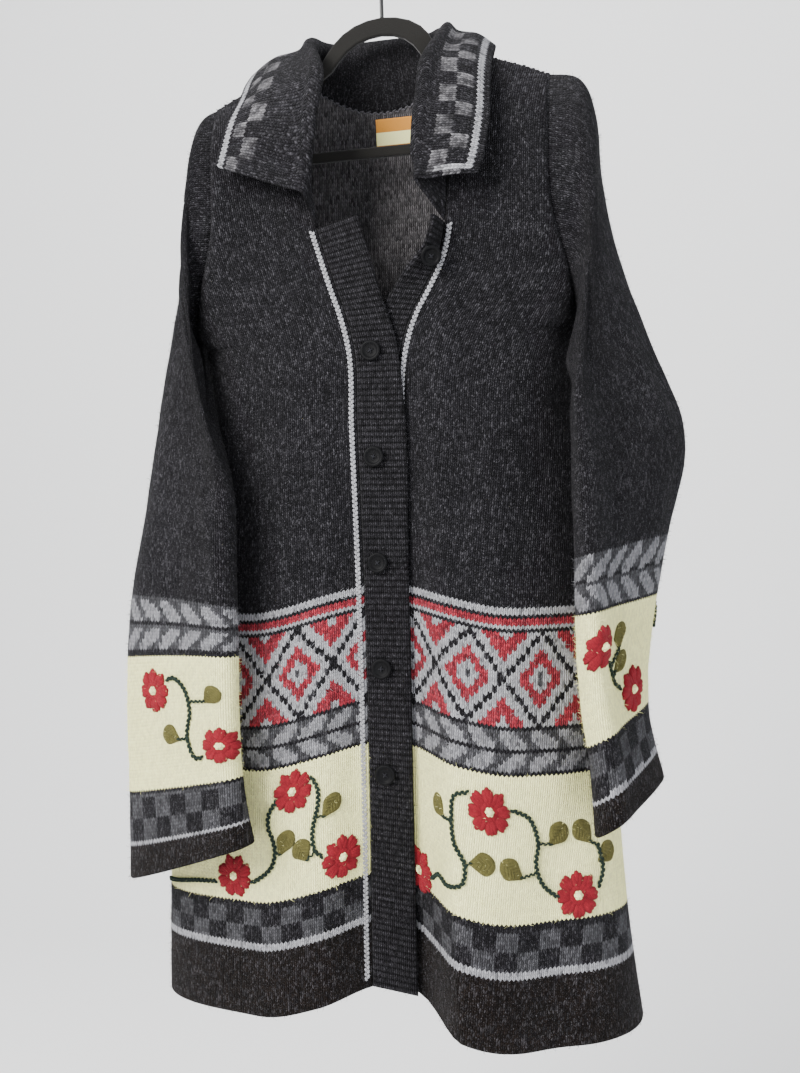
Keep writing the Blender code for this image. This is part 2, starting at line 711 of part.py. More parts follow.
def front_grid(side):
    """Middle points, offsets and heights of a front, and the way off its inner edge."""
    share = np.array(FRONT_SHARES, float)
    top_x = around(share, NECK_X, half_width(side, ARMHOLE_TOP))
    height = fan_rows(ridge_height(top_x))
    shares = np.broadcast_to(share, height.shape)

    def surface(a, b):
        return front_surface(side, np.clip(a, 0, 1), b)

    middle = surface(shares, height)
    middle[-1] = np.stack([side * top_x, 0 * top_x, np.interp(top_x, RIDGE_X, RIDGE_Z)], -1)
    offset = normals_of(surface, shares, height, 2e-3, 0.5)
    offset = offset * np.where(offset[..., 1:2] > 0, -1, 1)
    seam = len(BODY_ROWS)
    offset[:seam, -1] = (side, 0, 0)
    offset[-1] = shoulder_lean(side)
    offset[seam:, -1] = armhole_mitre(side, height[seam:, -1])
    neck = np.clip((height[:, 0] - NECK_END) / (height[-1, 0] - NECK_END), 0, 1)
    on_neck = height[:, 0] > NECK_END
    at = neck if side < 0 else 3 - neck
    offset[on_neck, 0] = neck_mitre(at[on_neck])
    way = seam_way(middle[:, 0], offset[:, 0], middle[:, 1] - middle[:, 0])
    middle[:, 0] += way * SEAM_GAP / 2
    middle[: seam + 1, -1, 1] -= SEAM_GAP / 2
    middle[seam:, -1, 0] -= side * SEAM_GAP / 2
    middle[-1, :, 1] -= SEAM_GAP / 2
    return middle, offset, height, way


def front_rim(side, height, gap):
    """Points beside a front's inner edge, a gap away, and the rim's directions, at given heights."""
    middle, offset, rows, way = front_grid(side)
    edge = middle[:, 0] - way * gap
    points = np.stack([np.interp(height, rows[:, 0], edge[:, k]) for k in range(3)], -1)
    leans = np.stack([np.interp(height, rows[:, 0], offset[:, 0, k]) for k in range(3)], -1)
    return points, leans


def build_front(side):
    name = "front_right" if side < 0 else "front_left"
    middle, offset, height, _ = front_grid(side)

    def surface(a, b):
        return front_surface(side, np.clip(a, 0, 1), b)

    fine, arc, lift = patch_tools(surface, -1)

    def flat(row, column):
        return (float(np.interp(FRONT_SHARES[column], fine, arc)), float(height[row, column]))

    wall = Wall(middle, offset)
    wall.add_patch(*MOTIF_ROWS, flat, lift, motifs_of(name))
    wall.build(name, "wool")


def back_shares():
    """Columns of the back, two of them at the neck points."""
    corner = math.asin((NECK_X / half_width(RIGHT, ARMHOLE_TOP)) ** (SQUARENESS / 2)) * 2 / math.pi
    outer = np.linspace(corner, 1, BACK_COLUMNS + 1)
    inner = np.linspace(-corner, corner, BACK_COLUMNS + 1)
    return np.concatenate([-outer[:0:-1], inner, outer[1:]])


def back_neck_z(x):
    return BACK_NECK_Z + (NECK_Z - BACK_NECK_Z) * (x / NECK_X) ** 2


def back_grid():
    """Middle points, offsets, heights and columns of the back, and which columns end at the neck."""
    share = back_shares()
    side = np.sign(share)
    width = np.where(share < 0, half_width(RIGHT, ARMHOLE_TOP), half_width(LEFT, ARMHOLE_TOP))
    top_x = side * width * np.sin(np.abs(share) * math.pi / 2) ** (2 / SQUARENESS)
    in_neck = np.abs(top_x) < NECK_X - 3
    top_z = np.where(in_neck, back_neck_z(top_x), np.interp(np.abs(top_x), RIDGE_X, RIDGE_Z))
    height = fan_rows(height_of(top_x, top_z, back_sag))
    shares = np.broadcast_to(share, height.shape)

    def surface(a, b):
        return back_surface(np.clip(a, -1, 1), b)

    middle = surface(shares, height)
    middle[-1, ~in_neck, 1] = 0
    offset = normals_of(surface, shares, height, 2e-3, 0.5)
    offset = offset * np.where(offset[..., 1:2] < 0, -1, 1)
    seam = len(BODY_ROWS)
    for column, way in ((0, RIGHT), (-1, LEFT)):
        offset[:seam, column] = (way, 0, 0)
        offset[-1, np.sign(share) == way] = shoulder_lean(way)
        offset[seam:, column] = armhole_mitre(way, height[seam:, column], 1)
        middle[: seam + 1, column, 1] += SEAM_GAP / 2
        middle[seam:, column, 0] -= way * SEAM_GAP / 2
    offset[-1, in_neck] = neck_mitre(1.5 + top_x[in_neck] / (2 * NECK_X))
    middle[-1, ~in_neck, 1] += SEAM_GAP / 2
    middle[-1, in_neck, 2] -= SEAM_GAP / 2
    return middle, offset, height, share


def build_back():
    middle, offset, height, share = back_grid()

    def surface(a, b):
        return back_surface(np.clip(a, -1, 1), b)

    fine, arc, lift = patch_tools(surface, 1)

    def flat(row, column):
        return (float(np.interp(share[column], fine, arc)), float(height[row, column]))

    wall = Wall(middle, offset)
    wall.add_patch(*MOTIF_ROWS, flat, lift, motifs_of("back"))
    wall.build("back", "wool")


def sleeve_ring(side, angle, along):
    """A point of a sleeve's middle surface: angle from the outer fold by the front, in degrees."""
    rows = SLEEVE_RIGHT if side < 0 else SLEEVE_LEFT
    folds = FOLDS_RIGHT if side < 0 else FOLDS_LEFT
    knots = np.linspace(0, 1, len(rows))
    outer = spline(knots, column_of(rows, "outer"), along)
    inner = spline(knots, column_of(rows, "inner"), along)
    thick = spline(knots, column_of(rows, "thick"), along)[..., None]
    centre = (outer + inner) / 2
    reach = (outer - inner) / 2
    level = unit(reach)
    facing = np.array([0.0, -1.0, 0.0]) - (-level[..., 1:2]) * level
    facing = unit(facing)
    turn = np.radians(angle)
    c = (np.sign(np.cos(turn)) * np.abs(np.cos(turn)) ** (2 / SLEEVE_SQUARENESS))[..., None]
    s = (np.sign(np.sin(turn)) * np.abs(np.sin(turn)) ** (2 / SLEEVE_SQUARENESS))[..., None]
    point = centre + reach * c + facing * thick * s
    way = unit(level * c * 0.4 + facing * s)
    for fold in folds:
        swing = fold.angle + fold.drift * (along - 0.5)
        gap = (angle - swing + 180) % 360 - 180
        span = smoothstep((along - fold.start) / 0.16) * smoothstep((fold.end - along) / 0.16)
        amount = fold.height * span * np.exp(-((gap / fold.width) ** 2))
        point = point + way * amount[..., None]
    return point


def armhole_ring(side, angle):
    """The armhole's seam, by the same angle: 0 at the shoulder, 90 in front, 180 underarm."""
    turn = np.radians(angle)
    height = (UNDERARM + ARMHOLE_TOP) / 2 + (ARMHOLE_TOP - UNDERARM) / 2 * np.cos(turn)
    x = side * half_width(side, height)
    z = HEM_Z + height - sag(x, height)
    y = -np.sign(np.sin(turn)) * armhole_opening(height) * ridge_rounding(x, z)
    return np.stack([x, y, z], -1), height


def sleeve_surface(side, angle, along):
    """The sleeve's middle surface, led into the armhole's seam at its top."""
    point = sleeve_ring(side, angle, along)
    seam, _ = armhole_ring(side, angle)
    start = sleeve_ring(side, angle, np.zeros_like(along))
    lead = (1 - smoothstep(along / CAP_FADE))[..., None]
    return point + (seam - start) * lead


def build_sleeve(side):
    name = "sleeve_right" if side < 0 else "sleeve_left"
    steps = 2 * ARMHOLE_ROWS
    angle = SLEEVE_SEAM + np.arange(steps) * 360.0 / steps
    along = np.array(SLEEVE_ROWS)
    angles, alongs = np.meshgrid(angle, along)

    def surface(a, b):
        return sleeve_surface(side, a, np.clip(b, 0, 1))

    middle = surface(angles, alongs)
    centre = middle.mean(axis=1, keepdims=True)
    offset = normals_of(surface, angles, alongs, 1.5, 4e-3)
    outwards = math.copysign(1, (offset * (middle - centre)).sum())
    offset = offset * outwards
    _, height = armhole_ring(side, angle)
    front = armhole_mitre(side, height)
    behind = armhole_mitre(side, height, 1)
    offset[0] = np.where(np.sin(np.radians(angle))[:, None] > 0, front, behind)
    middle[0, :, 0] += side * SEAM_GAP / 2
    low, high = SLEEVE_MOTIF_ROWS
    level = along[(low + high) // 2]
    fine = SLEEVE_SEAM + np.linspace(0, 360, 361)
    arc = lengths_along(surface(fine, np.full_like(fine, level)))
    up = np.linspace(1, 0.5, 101)
    rise = lengths_along(surface(np.full_like(up, 90.0), up))

    def flat(row, column):
        around_place = float(np.interp(SLEEVE_SEAM + column * 360.0 / steps, fine, arc))
        return (around_place, float(np.interp(-along[row], -up, rise)))

    def lift(place, out):
        a = np.array([np.interp(place[0], arc, fine)])
        b = np.array([np.interp(place[1], rise, up)])
        return surface(a, b)[0] + normals_of(surface, a, b, 1.5, 4e-3)[0] * outwards * out

    wall = Wall(middle, offset, closed=True)
    wall.add_patch(low, high, flat, lift, motifs_of(name))
    wall.build(name, "wool")


def collar_seam(at):
    """The collar's lower edge, a gap above the neck, from the right front end, 0, to the left, 3."""
    top = height_of(NECK_X, NECK_Z)
    back = back_grid()[0][-1]
    points = np.zeros((len(at), 3))
    behind = (at >= 1) & (at <= 2)
    x = NECK_X * 2 * (at[behind] - 1.5)
    points[behind] = np.stack([x, *(np.interp(x, back[:, 0], back[:, k]) for k in (1, 2))], -1)
    points[behind, 2] += NECK_GAP
    for side, ahead, climb in ((RIGHT, at < 1, at), (LEFT, at > 2, 3 - at)):
        height = NECK_END + (top - NECK_END) * climb[ahead]
        points[ahead] = front_rim(side, height, NECK_GAP)[0]
    corner = np.minimum(np.abs(at - 1), np.abs(at - 2))
    points[:, 2] += CORNER_GAP * (1 - smoothstep(corner / 0.3))
    return points


def build_collar():
    own = front_grid(RIGHT)[2][:, 0]
    own = (own[own > NECK_END] - NECK_END) / (own[-1] - NECK_END)
    climb = np.sort(np.concatenate([[0], own, (own[1:] + own[:-1]) / 2, [own[0] / 2]]))
    climb = climb[(climb == 1) | (climb < 0.98)]
    at = np.concatenate([climb, np.linspace(1, 2, 13)[1:-1], 3 - climb[::-1]])
    knots = column_of(COLLAR, "at")
    roll = spline(knots, column_of(COLLAR, "roll"), at)
    edge = spline(knots, column_of(COLLAR, "edge"), at)
    radius = spline(knots, column_of(COLLAR, "radius"), at)[:, None]
    seam = collar_seam(at)
    mitre = neck_mitre(at)
    down = np.array([0.0, 0.0, -1.0])
    away = edge - roll
    away[:, 2] = 0
    away = unit(away)
    inner = roll - away * radius + down * radius
    outer = roll + away * radius + down * radius * 0.9
    ends = smoothstep(np.minimum(at, 3 - at) / 0.3)[:, None]
    inner = inner + (seam + (roll - seam) * 0.55 - inner) * (1 - ends)
    outer = outer + (roll + (edge - roll) * 0.2 - outer) * (1 - ends)
    drop = roll + (edge - roll) * 0.6 + unit(mitre) * 3.0
    guide = np.stack([seam, inner, roll, outer, drop, edge], 0)
    place = np.array([0, 0.36, 0.48, 0.6, 0.82, 1.0])
    share = np.array([0, 0.12, 0.24, 0.34, 0.42, 0.48, 0.54, 0.61, 0.71, 0.85, 1.0])
    middle = spline(place, guide, share)
    across = np.gradient(middle, axis=1)
    along = np.gradient(middle, axis=0)
    offset = unit(np.cross(across, along))
    first = offset[0]
    sign = np.where((first * mitre).sum(-1) < 0, -1, 1)
    offset = offset * sign[None, :, None]
    offset[0] = mitre
    Wall(middle, offset).build("collar", "wool")


def band_grid(side):
    """Middle points and offsets of a button band: its seam with the front and its free edge."""
    rows = TOP_BAND_FREE if side < 0 else UNDER_BAND_FREE
    own = front_grid(side)[2][:, 0]
    own = own[own < NECK_END - 2]
    between = (own[1:] + own[:-1])[own[1:] > BODY_ROWS[-2]] / 2
    height = np.sort(np.concatenate([own, between, [NECK_END - 2]]))
    seam, mitre = front_rim(side, height, SEAM_GAP)
    knots = column_of(rows, "height")
    free_x = spline(knots, column_of(rows, "x"), height)
    free_y = spline(knots, column_of(rows, "y"), height)
    free = np.stack([free_x, free_y, HEM_Z + height - sag(free_x, height)], -1)
    middle = np.stack([seam, free], 1)
    offset = unit(np.cross(free - seam, tangent_of(free)))
    offset = offset * np.where((offset * mitre).sum(-1, keepdims=True) < 0, -1, 1)
    return middle, np.stack([mitre, offset], 1)


def build_band(side):
    """A button band with its ribs raised across it, over a plain inside."""
    middle, offset = band_grid(side)
    inner = middle - offset * WALL / 2
    points = [tuple(p) for row in inner for p in row]
    centre = middle.mean(axis=1)
    rim = [0]
    first = len(points)
    for k in range(len(middle) - 1):
        ribs = max(1, round(float(np.linalg.norm(centre[k + 1] - centre[k])) / RIB_PITCH))
        steps = 2 * ribs
        for step in range(steps if k < len(middle) - 2 else steps + 1):
            t = step / steps
            place = middle[k] * (1 - t) + middle[k + 1] * t
            lean = offset[k] * (1 - t) + offset[k + 1] * t
            outer = place + lean * (WALL / 2 + RIB_HEIGHT * (step % 2))
            points += [tuple(p) for p in outer]
        rim.append(rim[-1] + steps)
    faces = []
    for k in range(rim[-1]):
        a = first + 2 * k
        faces.append((a, a + 1, a + 3, a + 2))
    for k in range(len(middle) - 1):
        a = 2 * k
        faces.append((a, a + 2, a + 3, a + 1))
        for edge in (0, 1):
            outer = [first + 2 * j + edge for j in range(rim[k], rim[k + 1] + 1)]
            faces.append((a + edge, *outer, a + 2 + edge))
    last = first + 2 * rim[-1]
    top = 2 * (len(middle) - 1)
    faces += [(0, 1, first + 1, first), (top, last, last + 1, top + 1)]
    add_mesh("band_right" if side < 0 else "band_left", points, faces, "band")


def build_button(name, centre, normal):
    """A turned button: flat back, round edge and a raised rim round a shallow face."""
    profile = ((0, 0.3), (7.5, 0.3), (9.3, 1.6), (9.5, 3.2), (8.4, 4.6), (6.6, 4.4), (5.2, 3.4), (0, 3.2))
    mesh = bpy.data.meshes.new(name)
    made = bmesh.new()
    points = [made.verts.new((r * MM, 0, h * MM)) for r, h in profile]
    edges = [made.edges.new(pair) for pair in zip(points, points[1:])]
    bmesh.ops.spin(
        made, geom=points + edges, cent=(0, 0, 0), axis=(0, 0, 1), angle=math.tau,
        steps=BUTTON_SIDES, use_merge=True,
    )
    bmesh.ops.remove_doubles(made, verts=made.verts, dist=1e-6)
    bmesh.ops.recalc_face_normals(made, faces=made.faces)
    made.to_mesh(mesh)
    made.free()
    mesh.shade_smooth()
    mesh.materials.append(material("button"))
    obj = bpy.data.objects.new(name, mesh)
    obj.location = Vector(centre) * MM
    obj.rotation_mode = "QUATERNION"
    obj.rotation_quaternion = Vector((0, 0, 1)).rotation_difference(Vector(normal))
    bpy.context.scene.collection.objects.link(obj)


def build_buttons():
    """Five done-up buttons down the top band, and the open one on the turned-back under band."""
    for k in range(5):
        z = BUTTON_TOP - k * BUTTON_STEP
        height = z - HEM_Z
        seam_y = -front_depth(RIGHT, np.array(-17.0), np.array(height))
        free_y = spline(column_of(TOP_BAND_FREE, "height"), column_of(TOP_BAND_FREE, "y"), height)
        face = min(float(seam_y), float(free_y)) - WALL / 2 - RIB_HEIGHT
        build_button("button_%d" % (k + 2), (BUTTON_X, face - SEAM_GAP, z), (0, -1, 0))
    middle, offset = band_grid(LEFT)
    row = int(np.argmin(np.abs(middle[:, 0, 2] - OPEN_BUTTON_Z)))
    normal = unit(offset[row].sum(axis=0))
    place = middle[row].mean(axis=0) + normal * (WALL / 2 + RIB_HEIGHT + OPEN_BUTTON_GAP)
    build_button("button_1", tuple(place), tuple(normal))


def build_label(name, label, finish):
    """A woven label laid along the back's inside, below the neck seam."""

    def inside(x, z):
        height = height_of(x, z, back_sag)
        low = back_point(np.array(x - 1.0), np.array(height))
        high = back_point(np.array(x + 1.0), np.array(height))
        up = back_point(np.array(x), np.array(height + 1.0)) - back_point(np.array(x), np.array(height - 1.0))
        normal = unit(np.cross(high - low, up))
        normal = normal * (-1 if normal[1] > 0 else 1)
        return back_point(np.array(x), np.array(height)), normal

    points = []
    columns = np.linspace(label.left, label.right, LABEL_COLUMNS)
    rows = np.linspace(label.bottom, label.top, LABEL_ROWS)
    for layer in (WALL / 2 + LABEL_GAP, WALL / 2 + LABEL_GAP + label.thick):
        for z in rows:
            for x in columns:
                place, normal = inside(x, z)
                points.append(tuple(place + normal * layer))
    wide, count = len(columns), len(rows) * len(columns)
    faces = []
    for r in range(len(rows) - 1):
        for c in range(wide - 1):
            a = r * wide + c
            faces.append((a, a + 1, a + 1 + wide, a + wide))
            faces.append((a + count, a + wide + count, a + 1 + wide + count, a + 1 + count))
    ring = list(range(wide)) + [wide * (r + 1) - 1 for r in range(1, len(rows))]
    ring += [count - 1 - c for c in range(1, wide)] + [wide * r for r in range(len(rows) - 2, 0, -1)]
    faces += [(a, b, b + count, a + count) for a, b in zip(ring, ring[1:] + ring[:1])]
    add_mesh(name, points, faces, finish)


def flat_outline(name, loops, depth, bevel, finish):
    """A plate cut to closed outlines in the X-Z plane, its edges rounded."""
    curve = bpy.data.curves.new(name, "CURVE")
    curve.dimensions = "2D"
    curve.fill_mode = "BOTH"
    curve.extrude = (depth / 2 - bevel) * MM
    curve.bevel_depth = bevel * MM
    curve.bevel_resolution = 1
    curve.offset = -bevel * MM
    for loop in loops:
        line = curve.splines.new("POLY")
        line.points.add(len(loop) - 1)
        for point, (x, z) in zip(line.points, loop):
            point.co = (x * MM, z * MM, 0, 1)
        line.use_cyclic_u = True
    curve.materials.append(material(finish))
    obj = bpy.data.objects.new(name, curve)
    obj.rotation_euler = (math.pi / 2, 0, 0)
    bpy.context.scene.collection.objects.link(obj)
    return obj


def leaned(loop):
    """The arch leans a little towards the wearer's left."""
    return [(x + ARCH_LEAN * float(smoothstep((z + 125) / 60)), z) for x, z in loop]


def hanger_loops():
    """Outer outline and inner window of the flat hanger: a neck arch, two arms and a bar."""
    arch_x = np.array([0, 14, 27, 38, 46, 52, 57, 64])
    arch_z = np.array([-65, -66.5, -70.5, -77, -85, -94, -103, -108.5])
    arm_x = np.array([80, 100, 120, 140, 152, 163])
    arm_z = np.interp(arm_x, RIDGE_X, RIDGE_Z) - WALL / 2 - np.array(ARM_DROP)
    end_x = np.array([170, 173, 173, 168])
    end_z = np.array([-157, -166, -178, -191])
    half = list(zip(np.concatenate([arch_x, arm_x, end_x]), np.concatenate([arch_z, arm_z, end_z])))
    half.append((158.0, -197.0))
    outer = [(-x, z) for x, z in half[:0:-1]] + half
    inner_half = [(0, -82), (12, -83.5), (23, -87.5), (32, -94), (39, -102), (45, -111), (56, -119),
                  (80, -126), (110, -134), (140, -145), (152, -152), (159, -160), (162, -170),
                  (160, -180), (152, -187)]
    inner = [(-x, z) for x, z in inner_half[:0:-1]] + inner_half
    return leaned(outer), leaned(inner)


def build_hanger():
    outer, inner = hanger_loops()
    flat_outline("hanger", (outer, inner), 6.0, 1.6, "flocked")


def build_hook():
    """A round wire: a shank out of the arch and an open hook round the rail."""
    radius = HOOK_INNER + HOOK_WIRE / 2
    shank = [(ARCH_LEAN, -64.6), (ARCH_LEAN, -56.0), (ARCH_LEAN, -48.0)]
    start, end = math.radians(-62), math.radians(190)
    turned = [
        (radius * math.cos(a), -HOOK_INNER + radius * math.sin(a))
        for a in np.linspace(start, end, 22)
    ]
    path = shank + [(ARCH_LEAN + 2.0, -43.0)] + turned
    curve = bpy.data.curves.new("hanger_hook", "CURVE")
    curve.dimensions = "3D"
    curve.bevel_depth = HOOK_WIRE / 2 * MM
    curve.bevel_resolution = 2
    curve.use_fill_caps = True
    line = curve.splines.new("POLY")
    line.points.add(len(path) - 1)
    for point, (x, z) in zip(line.points, path):
        point.co = (x * MM, 0, z * MM, 1)
    curve.materials.append(material("hook"))
    obj = bpy.data.objects.new("hanger_hook", curve)
    bpy.context.scene.collection.objects.link(obj)


def main():
    for obj in list(bpy.data.objects):
        bpy.data.objects.remove(obj, do_unlink=True)
    build_front(RIGHT)
    build_front(LEFT)
    build_back()
    build_sleeve(RIGHT)
    build_sleeve(LEFT)
    build_collar()
    build_band(RIGHT)
    build_band(LEFT)
    build_buttons()
    build_label("label", LABEL, "label")
    build_label("size_tag", SIZE_TAG, "tag")
    build_hanger()
    build_hook()


main()
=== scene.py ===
"""The looks of a knit sweater jacket on its flat hanger.

Every cloth piece is worked out again from the garment's own sizes as a fine grid, with the knit's
two measures, across and up in millimetres, as its UV map. The knit's colours and stitches follow
those measures. Lengths are millimetres until a mesh is made.
"""

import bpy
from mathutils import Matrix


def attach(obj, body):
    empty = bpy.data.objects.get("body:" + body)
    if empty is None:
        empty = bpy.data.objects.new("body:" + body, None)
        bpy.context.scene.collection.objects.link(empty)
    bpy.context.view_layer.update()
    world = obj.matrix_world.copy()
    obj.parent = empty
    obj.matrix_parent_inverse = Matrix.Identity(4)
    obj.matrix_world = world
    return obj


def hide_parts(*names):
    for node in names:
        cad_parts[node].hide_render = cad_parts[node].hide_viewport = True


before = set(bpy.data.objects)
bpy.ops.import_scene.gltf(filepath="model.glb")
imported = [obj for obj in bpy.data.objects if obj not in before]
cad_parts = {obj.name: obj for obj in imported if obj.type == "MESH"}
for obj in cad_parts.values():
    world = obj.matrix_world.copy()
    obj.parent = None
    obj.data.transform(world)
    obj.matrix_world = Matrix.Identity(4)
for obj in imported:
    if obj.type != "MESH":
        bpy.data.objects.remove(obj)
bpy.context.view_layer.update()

import functools
import math
from collections import namedtuple

import bmesh
import bpy
import numpy as np
from mathutils import Matrix, Vector, noise

bl_info = {
    "name": "Knit sweater jacket",
    "version": (1, 0, 0),
    "blender": (4, 5, 0),
    "location": "3D View > Sidebar > Jacket",
    "description": "Builds a patterned knit jacket with crocheted flowers on its hanger",
    "category": "Add Mesh",
}

MM = 0.001
WALL = 4.0
SEAM_GAP = 0.3
NECK_GAP, CORNER_GAP = 0.6, 0.9
RIGHT, LEFT = -1, 1

# Body
HEM_Z = -964.0
HEM_SAG, SAG_WIDTH = 24.0, 125.0
LEFT_DROP, LEFT_DROP_WIDTH, LEFT_DROP_TOP = 15.0, 40.0, 330.0
UNDERARM, ARMHOLE_TOP = 616.0, 851.0
ARMHOLE_MIDDLE, ARMHOLE_REACH = (UNDERARM + ARMHOLE_TOP) / 2, (ARMHOLE_TOP - UNDERARM) / 2
ARMHOLE_HALF_DEPTH = 30.0
NECK_X, NECK_Z, BACK_NECK_Z = 80.0, -109.0, -147.0
RIDGE_DROP = 60.0
SQUARENESS, EDGE_SHARPNESS = 2.3, 6
SHOULDER_LEAN = 0.35
# Where the fronts lie flat behind the bands, and where they part for the neck
FLAT_RIGHT, FLAT_LEFT, FLAT_FADE = 18.0, 24.0, 46.0
PARTING, PARTING_FADE = 630.0, 80.0

BodyRow = namedtuple("BodyRow", "height right left front_right front_left back centre")
BODY = (
    BodyRow(0, 234, 216, 88, 108, 56, 55),
    BodyRow(90, 231, 206, 86, 99, 54, 56),
    BodyRow(190, 226, 200, 82, 88, 52, 57),
    BodyRow(370, 196, 190, 74, 78, 48, 58),
    BodyRow(500, 178, 178, 66, 68, 44, 59),
    BodyRow(600, 166, 167, 58, 60, 40, 56),
    BodyRow(616, 172, 173, 56, 58, 39, 55),
    BodyRow(734, 158, 160, 42, 44, 33, 46),
    BodyRow(851, 160, 160, 29, 30, 27, 34),
    BodyRow(890, 160, 160, 26, 27, 25, 30),
)

# Soft vertical folds: where each lies across, how wide, how far it stands out, and its reach
Fold = namedtuple("Fold", "across width height bottom top")
FRONT_FOLDS = (
    Fold(-105, 30, 5, -200, 330),
    Fold(88, 34, 9, -260, 300),
    Fold(150, 22, -6, -200, 260),
    Fold(-62, 14, -4, 330, 560),
    Fold(70, 16, -4, 300, 560),
)
BACK_FOLDS = (
    Fold(-120, 30, 9, -300, 420),
    Fold(-52, 26, -6, -260, 380),
    Fold(28, 32, 8, -340, 460),
    Fold(96, 24, -7, -260, 340),
    Fold(150, 26, 6, -240, 300),
)

# Shoulder ridge over the hanger's arm, by distance from the middle
RIDGE_X = (40.0, 80.0, 110.0, 140.0, 160.0, 175.0)
RIDGE_Z = (-104.0, -109.0, -117.0, -128.0, -137.0, -145.0)

# Where each front's inner edge runs, by height above the hem
EdgeRow = namedtuple("EdgeRow", "height right left")
FRONT_EDGE = (
    EdgeRow(-60, -22, 2),
    EdgeRow(0, -22, 2),
    EdgeRow(170, -18, 2),
    EdgeRow(370, -16, 6),
    EdgeRow(510, -17, 17),
    EdgeRow(580, -18, 24),
    EdgeRow(608, -24, 33),
    EdgeRow(640, -34, 49),
    EdgeRow(667, -42, 60),
    EdgeRow(704, -53, 67),
    EdgeRow(744, -61, 69),
    EdgeRow(795, -69, 71),
    EdgeRow(838, -75, 75),
    EdgeRow(869, -80, 80),
    EdgeRow(910, -86, 86),
)
NECK_END = 704.0

# Button bands: the free edge, by height above the hem
UNDER_BAND_STEP = 7.0
BandRow = namedtuple("BandRow", "height x y")
TOP_BAND_FREE = (
    BandRow(0, 20, -56),
    BandRow(170, 22, -57),
    BandRow(370, 25, -58),
    BandRow(560, 24, -58),
    BandRow(584, 21, -57),
    BandRow(627, 8, -55),
    BandRow(664, -2, -53),
    BandRow(700, -12, -52),
)
UNDER_BAND_FREE = (
    BandRow(0, -39, -48),
    BandRow(170, -39, -49),
    BandRow(370, -35, -50),
    BandRow(510, -24, -51),
    BandRow(575, -17, -48),
    BandRow(604, -2, -46),
    BandRow(630, 16, -50),
    BandRow(652, 34, -64),
    BandRow(667, 48, -73),
    BandRow(694, 59, -71),
)
RIB_HEIGHT = 0.9

# Collar, from the wearer's right front end, 0, by the neck points at the shoulders, 1 and 2, to
# the left front end, 3: its roll and its edge, the roll's radius and the seam's bisector
CollarRow = namedtuple("CollarRow", "at roll edge radius mitre")
COLLAR = (
    CollarRow(0.0, (-60, -68, -243), (-147, -54, -207), 5, (-0.35, -0.93, 0.1)),
    CollarRow(0.25, (-58, -66, -212), (-143, -50, -190), 5, (-0.4, -0.9, 0.1)),
    CollarRow(0.56, (-55, -58, -162), (-137, -43, -165), 7, (-0.5, -0.8, 0.2)),
    CollarRow(0.82, (-53, -37, -112), (-131, -22, -137), 8, (-0.6, -0.6, 0.5)),
    CollarRow(0.91, (-60, -20, -95), (-129, -5, -116), 8, (-0.6, -0.3, 0.7)),
    CollarRow(1.0, (-67, -2, -80), (-123, 12, -101), 8, (-0.6, 0, 0.8)),
    CollarRow(1.2, (-48, 27, -76), (-84, 46, -152), 9, (-0.25, 0.95, 0.15)),
    CollarRow(1.5, (0, 37, -73), (0, 56, -176), 9, (0, 1, 0)),
    CollarRow(1.8, (50, 27, -75), (84, 46, -150), 9, (0.25, 0.95, 0.15)),
    CollarRow(2.0, (69, -2, -79), (112, 12, -101), 8, (0.6, 0, 0.8)),
    CollarRow(2.09, (66, -20, -94), (112, -6, -112), 8, (0.6, -0.3, 0.7)),
    CollarRow(2.18, (61, -38, -110), (112, -27, -132), 8, (0.6, -0.6, 0.5)),
    CollarRow(2.44, (54, -58, -160), (112, -48, -180), 7, (0.5, -0.8, 0.2)),
    CollarRow(2.75, (48, -67, -214), (107, -60, -222), 5, (0.4, -0.9, 0.1)),
    CollarRow(3.0, (46, -72, -242), (101, -62, -238), 4, (0.35, -0.93, 0.1)),
)

# Sleeves, armhole to cuff: the outer and the inner fold of each ring and its half thickness
SleeveRow = namedtuple("SleeveRow", "outer inner thick")
SLEEVE_RIGHT = (
    SleeveRow((-160, 0, -137), (-168, 0, -352), 30),
    SleeveRow((-173, -3, -147), (-192, -8, -362), 30),
    SleeveRow((-180, -6, -177), (-193, -30, -388), 26),
    SleeveRow((-184, -10, -230), (-176, -56, -424), 24),
    SleeveRow((-195, -14, -312), (-150, -77, -464), 21),
    SleeveRow((-213, -20, -410), (-131, -92, -510), 19),
    SleeveRow((-230, -30, -520), (-128, -99, -575), 17),
    SleeveRow((-247, -38, -610), (-127, -103, -645), 16),
    SleeveRow((-252, -44, -700), (-127, -107, -712), 16),
    SleeveRow((-250, -50, -790), (-124, -111, -772), 17),
    SleeveRow((-249, -56, -870), (-114, -116, -824), 20),
)
SLEEVE_LEFT = (
    SleeveRow((162, 0, -137), (173, 0, -372), 30),
    SleeveRow((190, 0, -146), (188, -14, -388), 30),
    SleeveRow((203, 2, -182), (190, -36, -406), 28),
    SleeveRow((206, 4, -246), (187, -60, -426), 25),
    SleeveRow((219, 6, -318), (180, -80, -452), 23),
    SleeveRow((245, 6, -396), (180, -90, -500), 22),
    SleeveRow((270, 4, -478), (180, -96, -560), 21),
    SleeveRow((248, 2, -575), (180, -100, -630), 20),
    SleeveRow((231, 0, -655), (183, -104, -695), 19),
    SleeveRow((225, -4, -728), (191, -108, -752), 18),
    SleeveRow((236, -8, -786), (194, -112, -812), 20),
)
CAP_FADE = 0.16

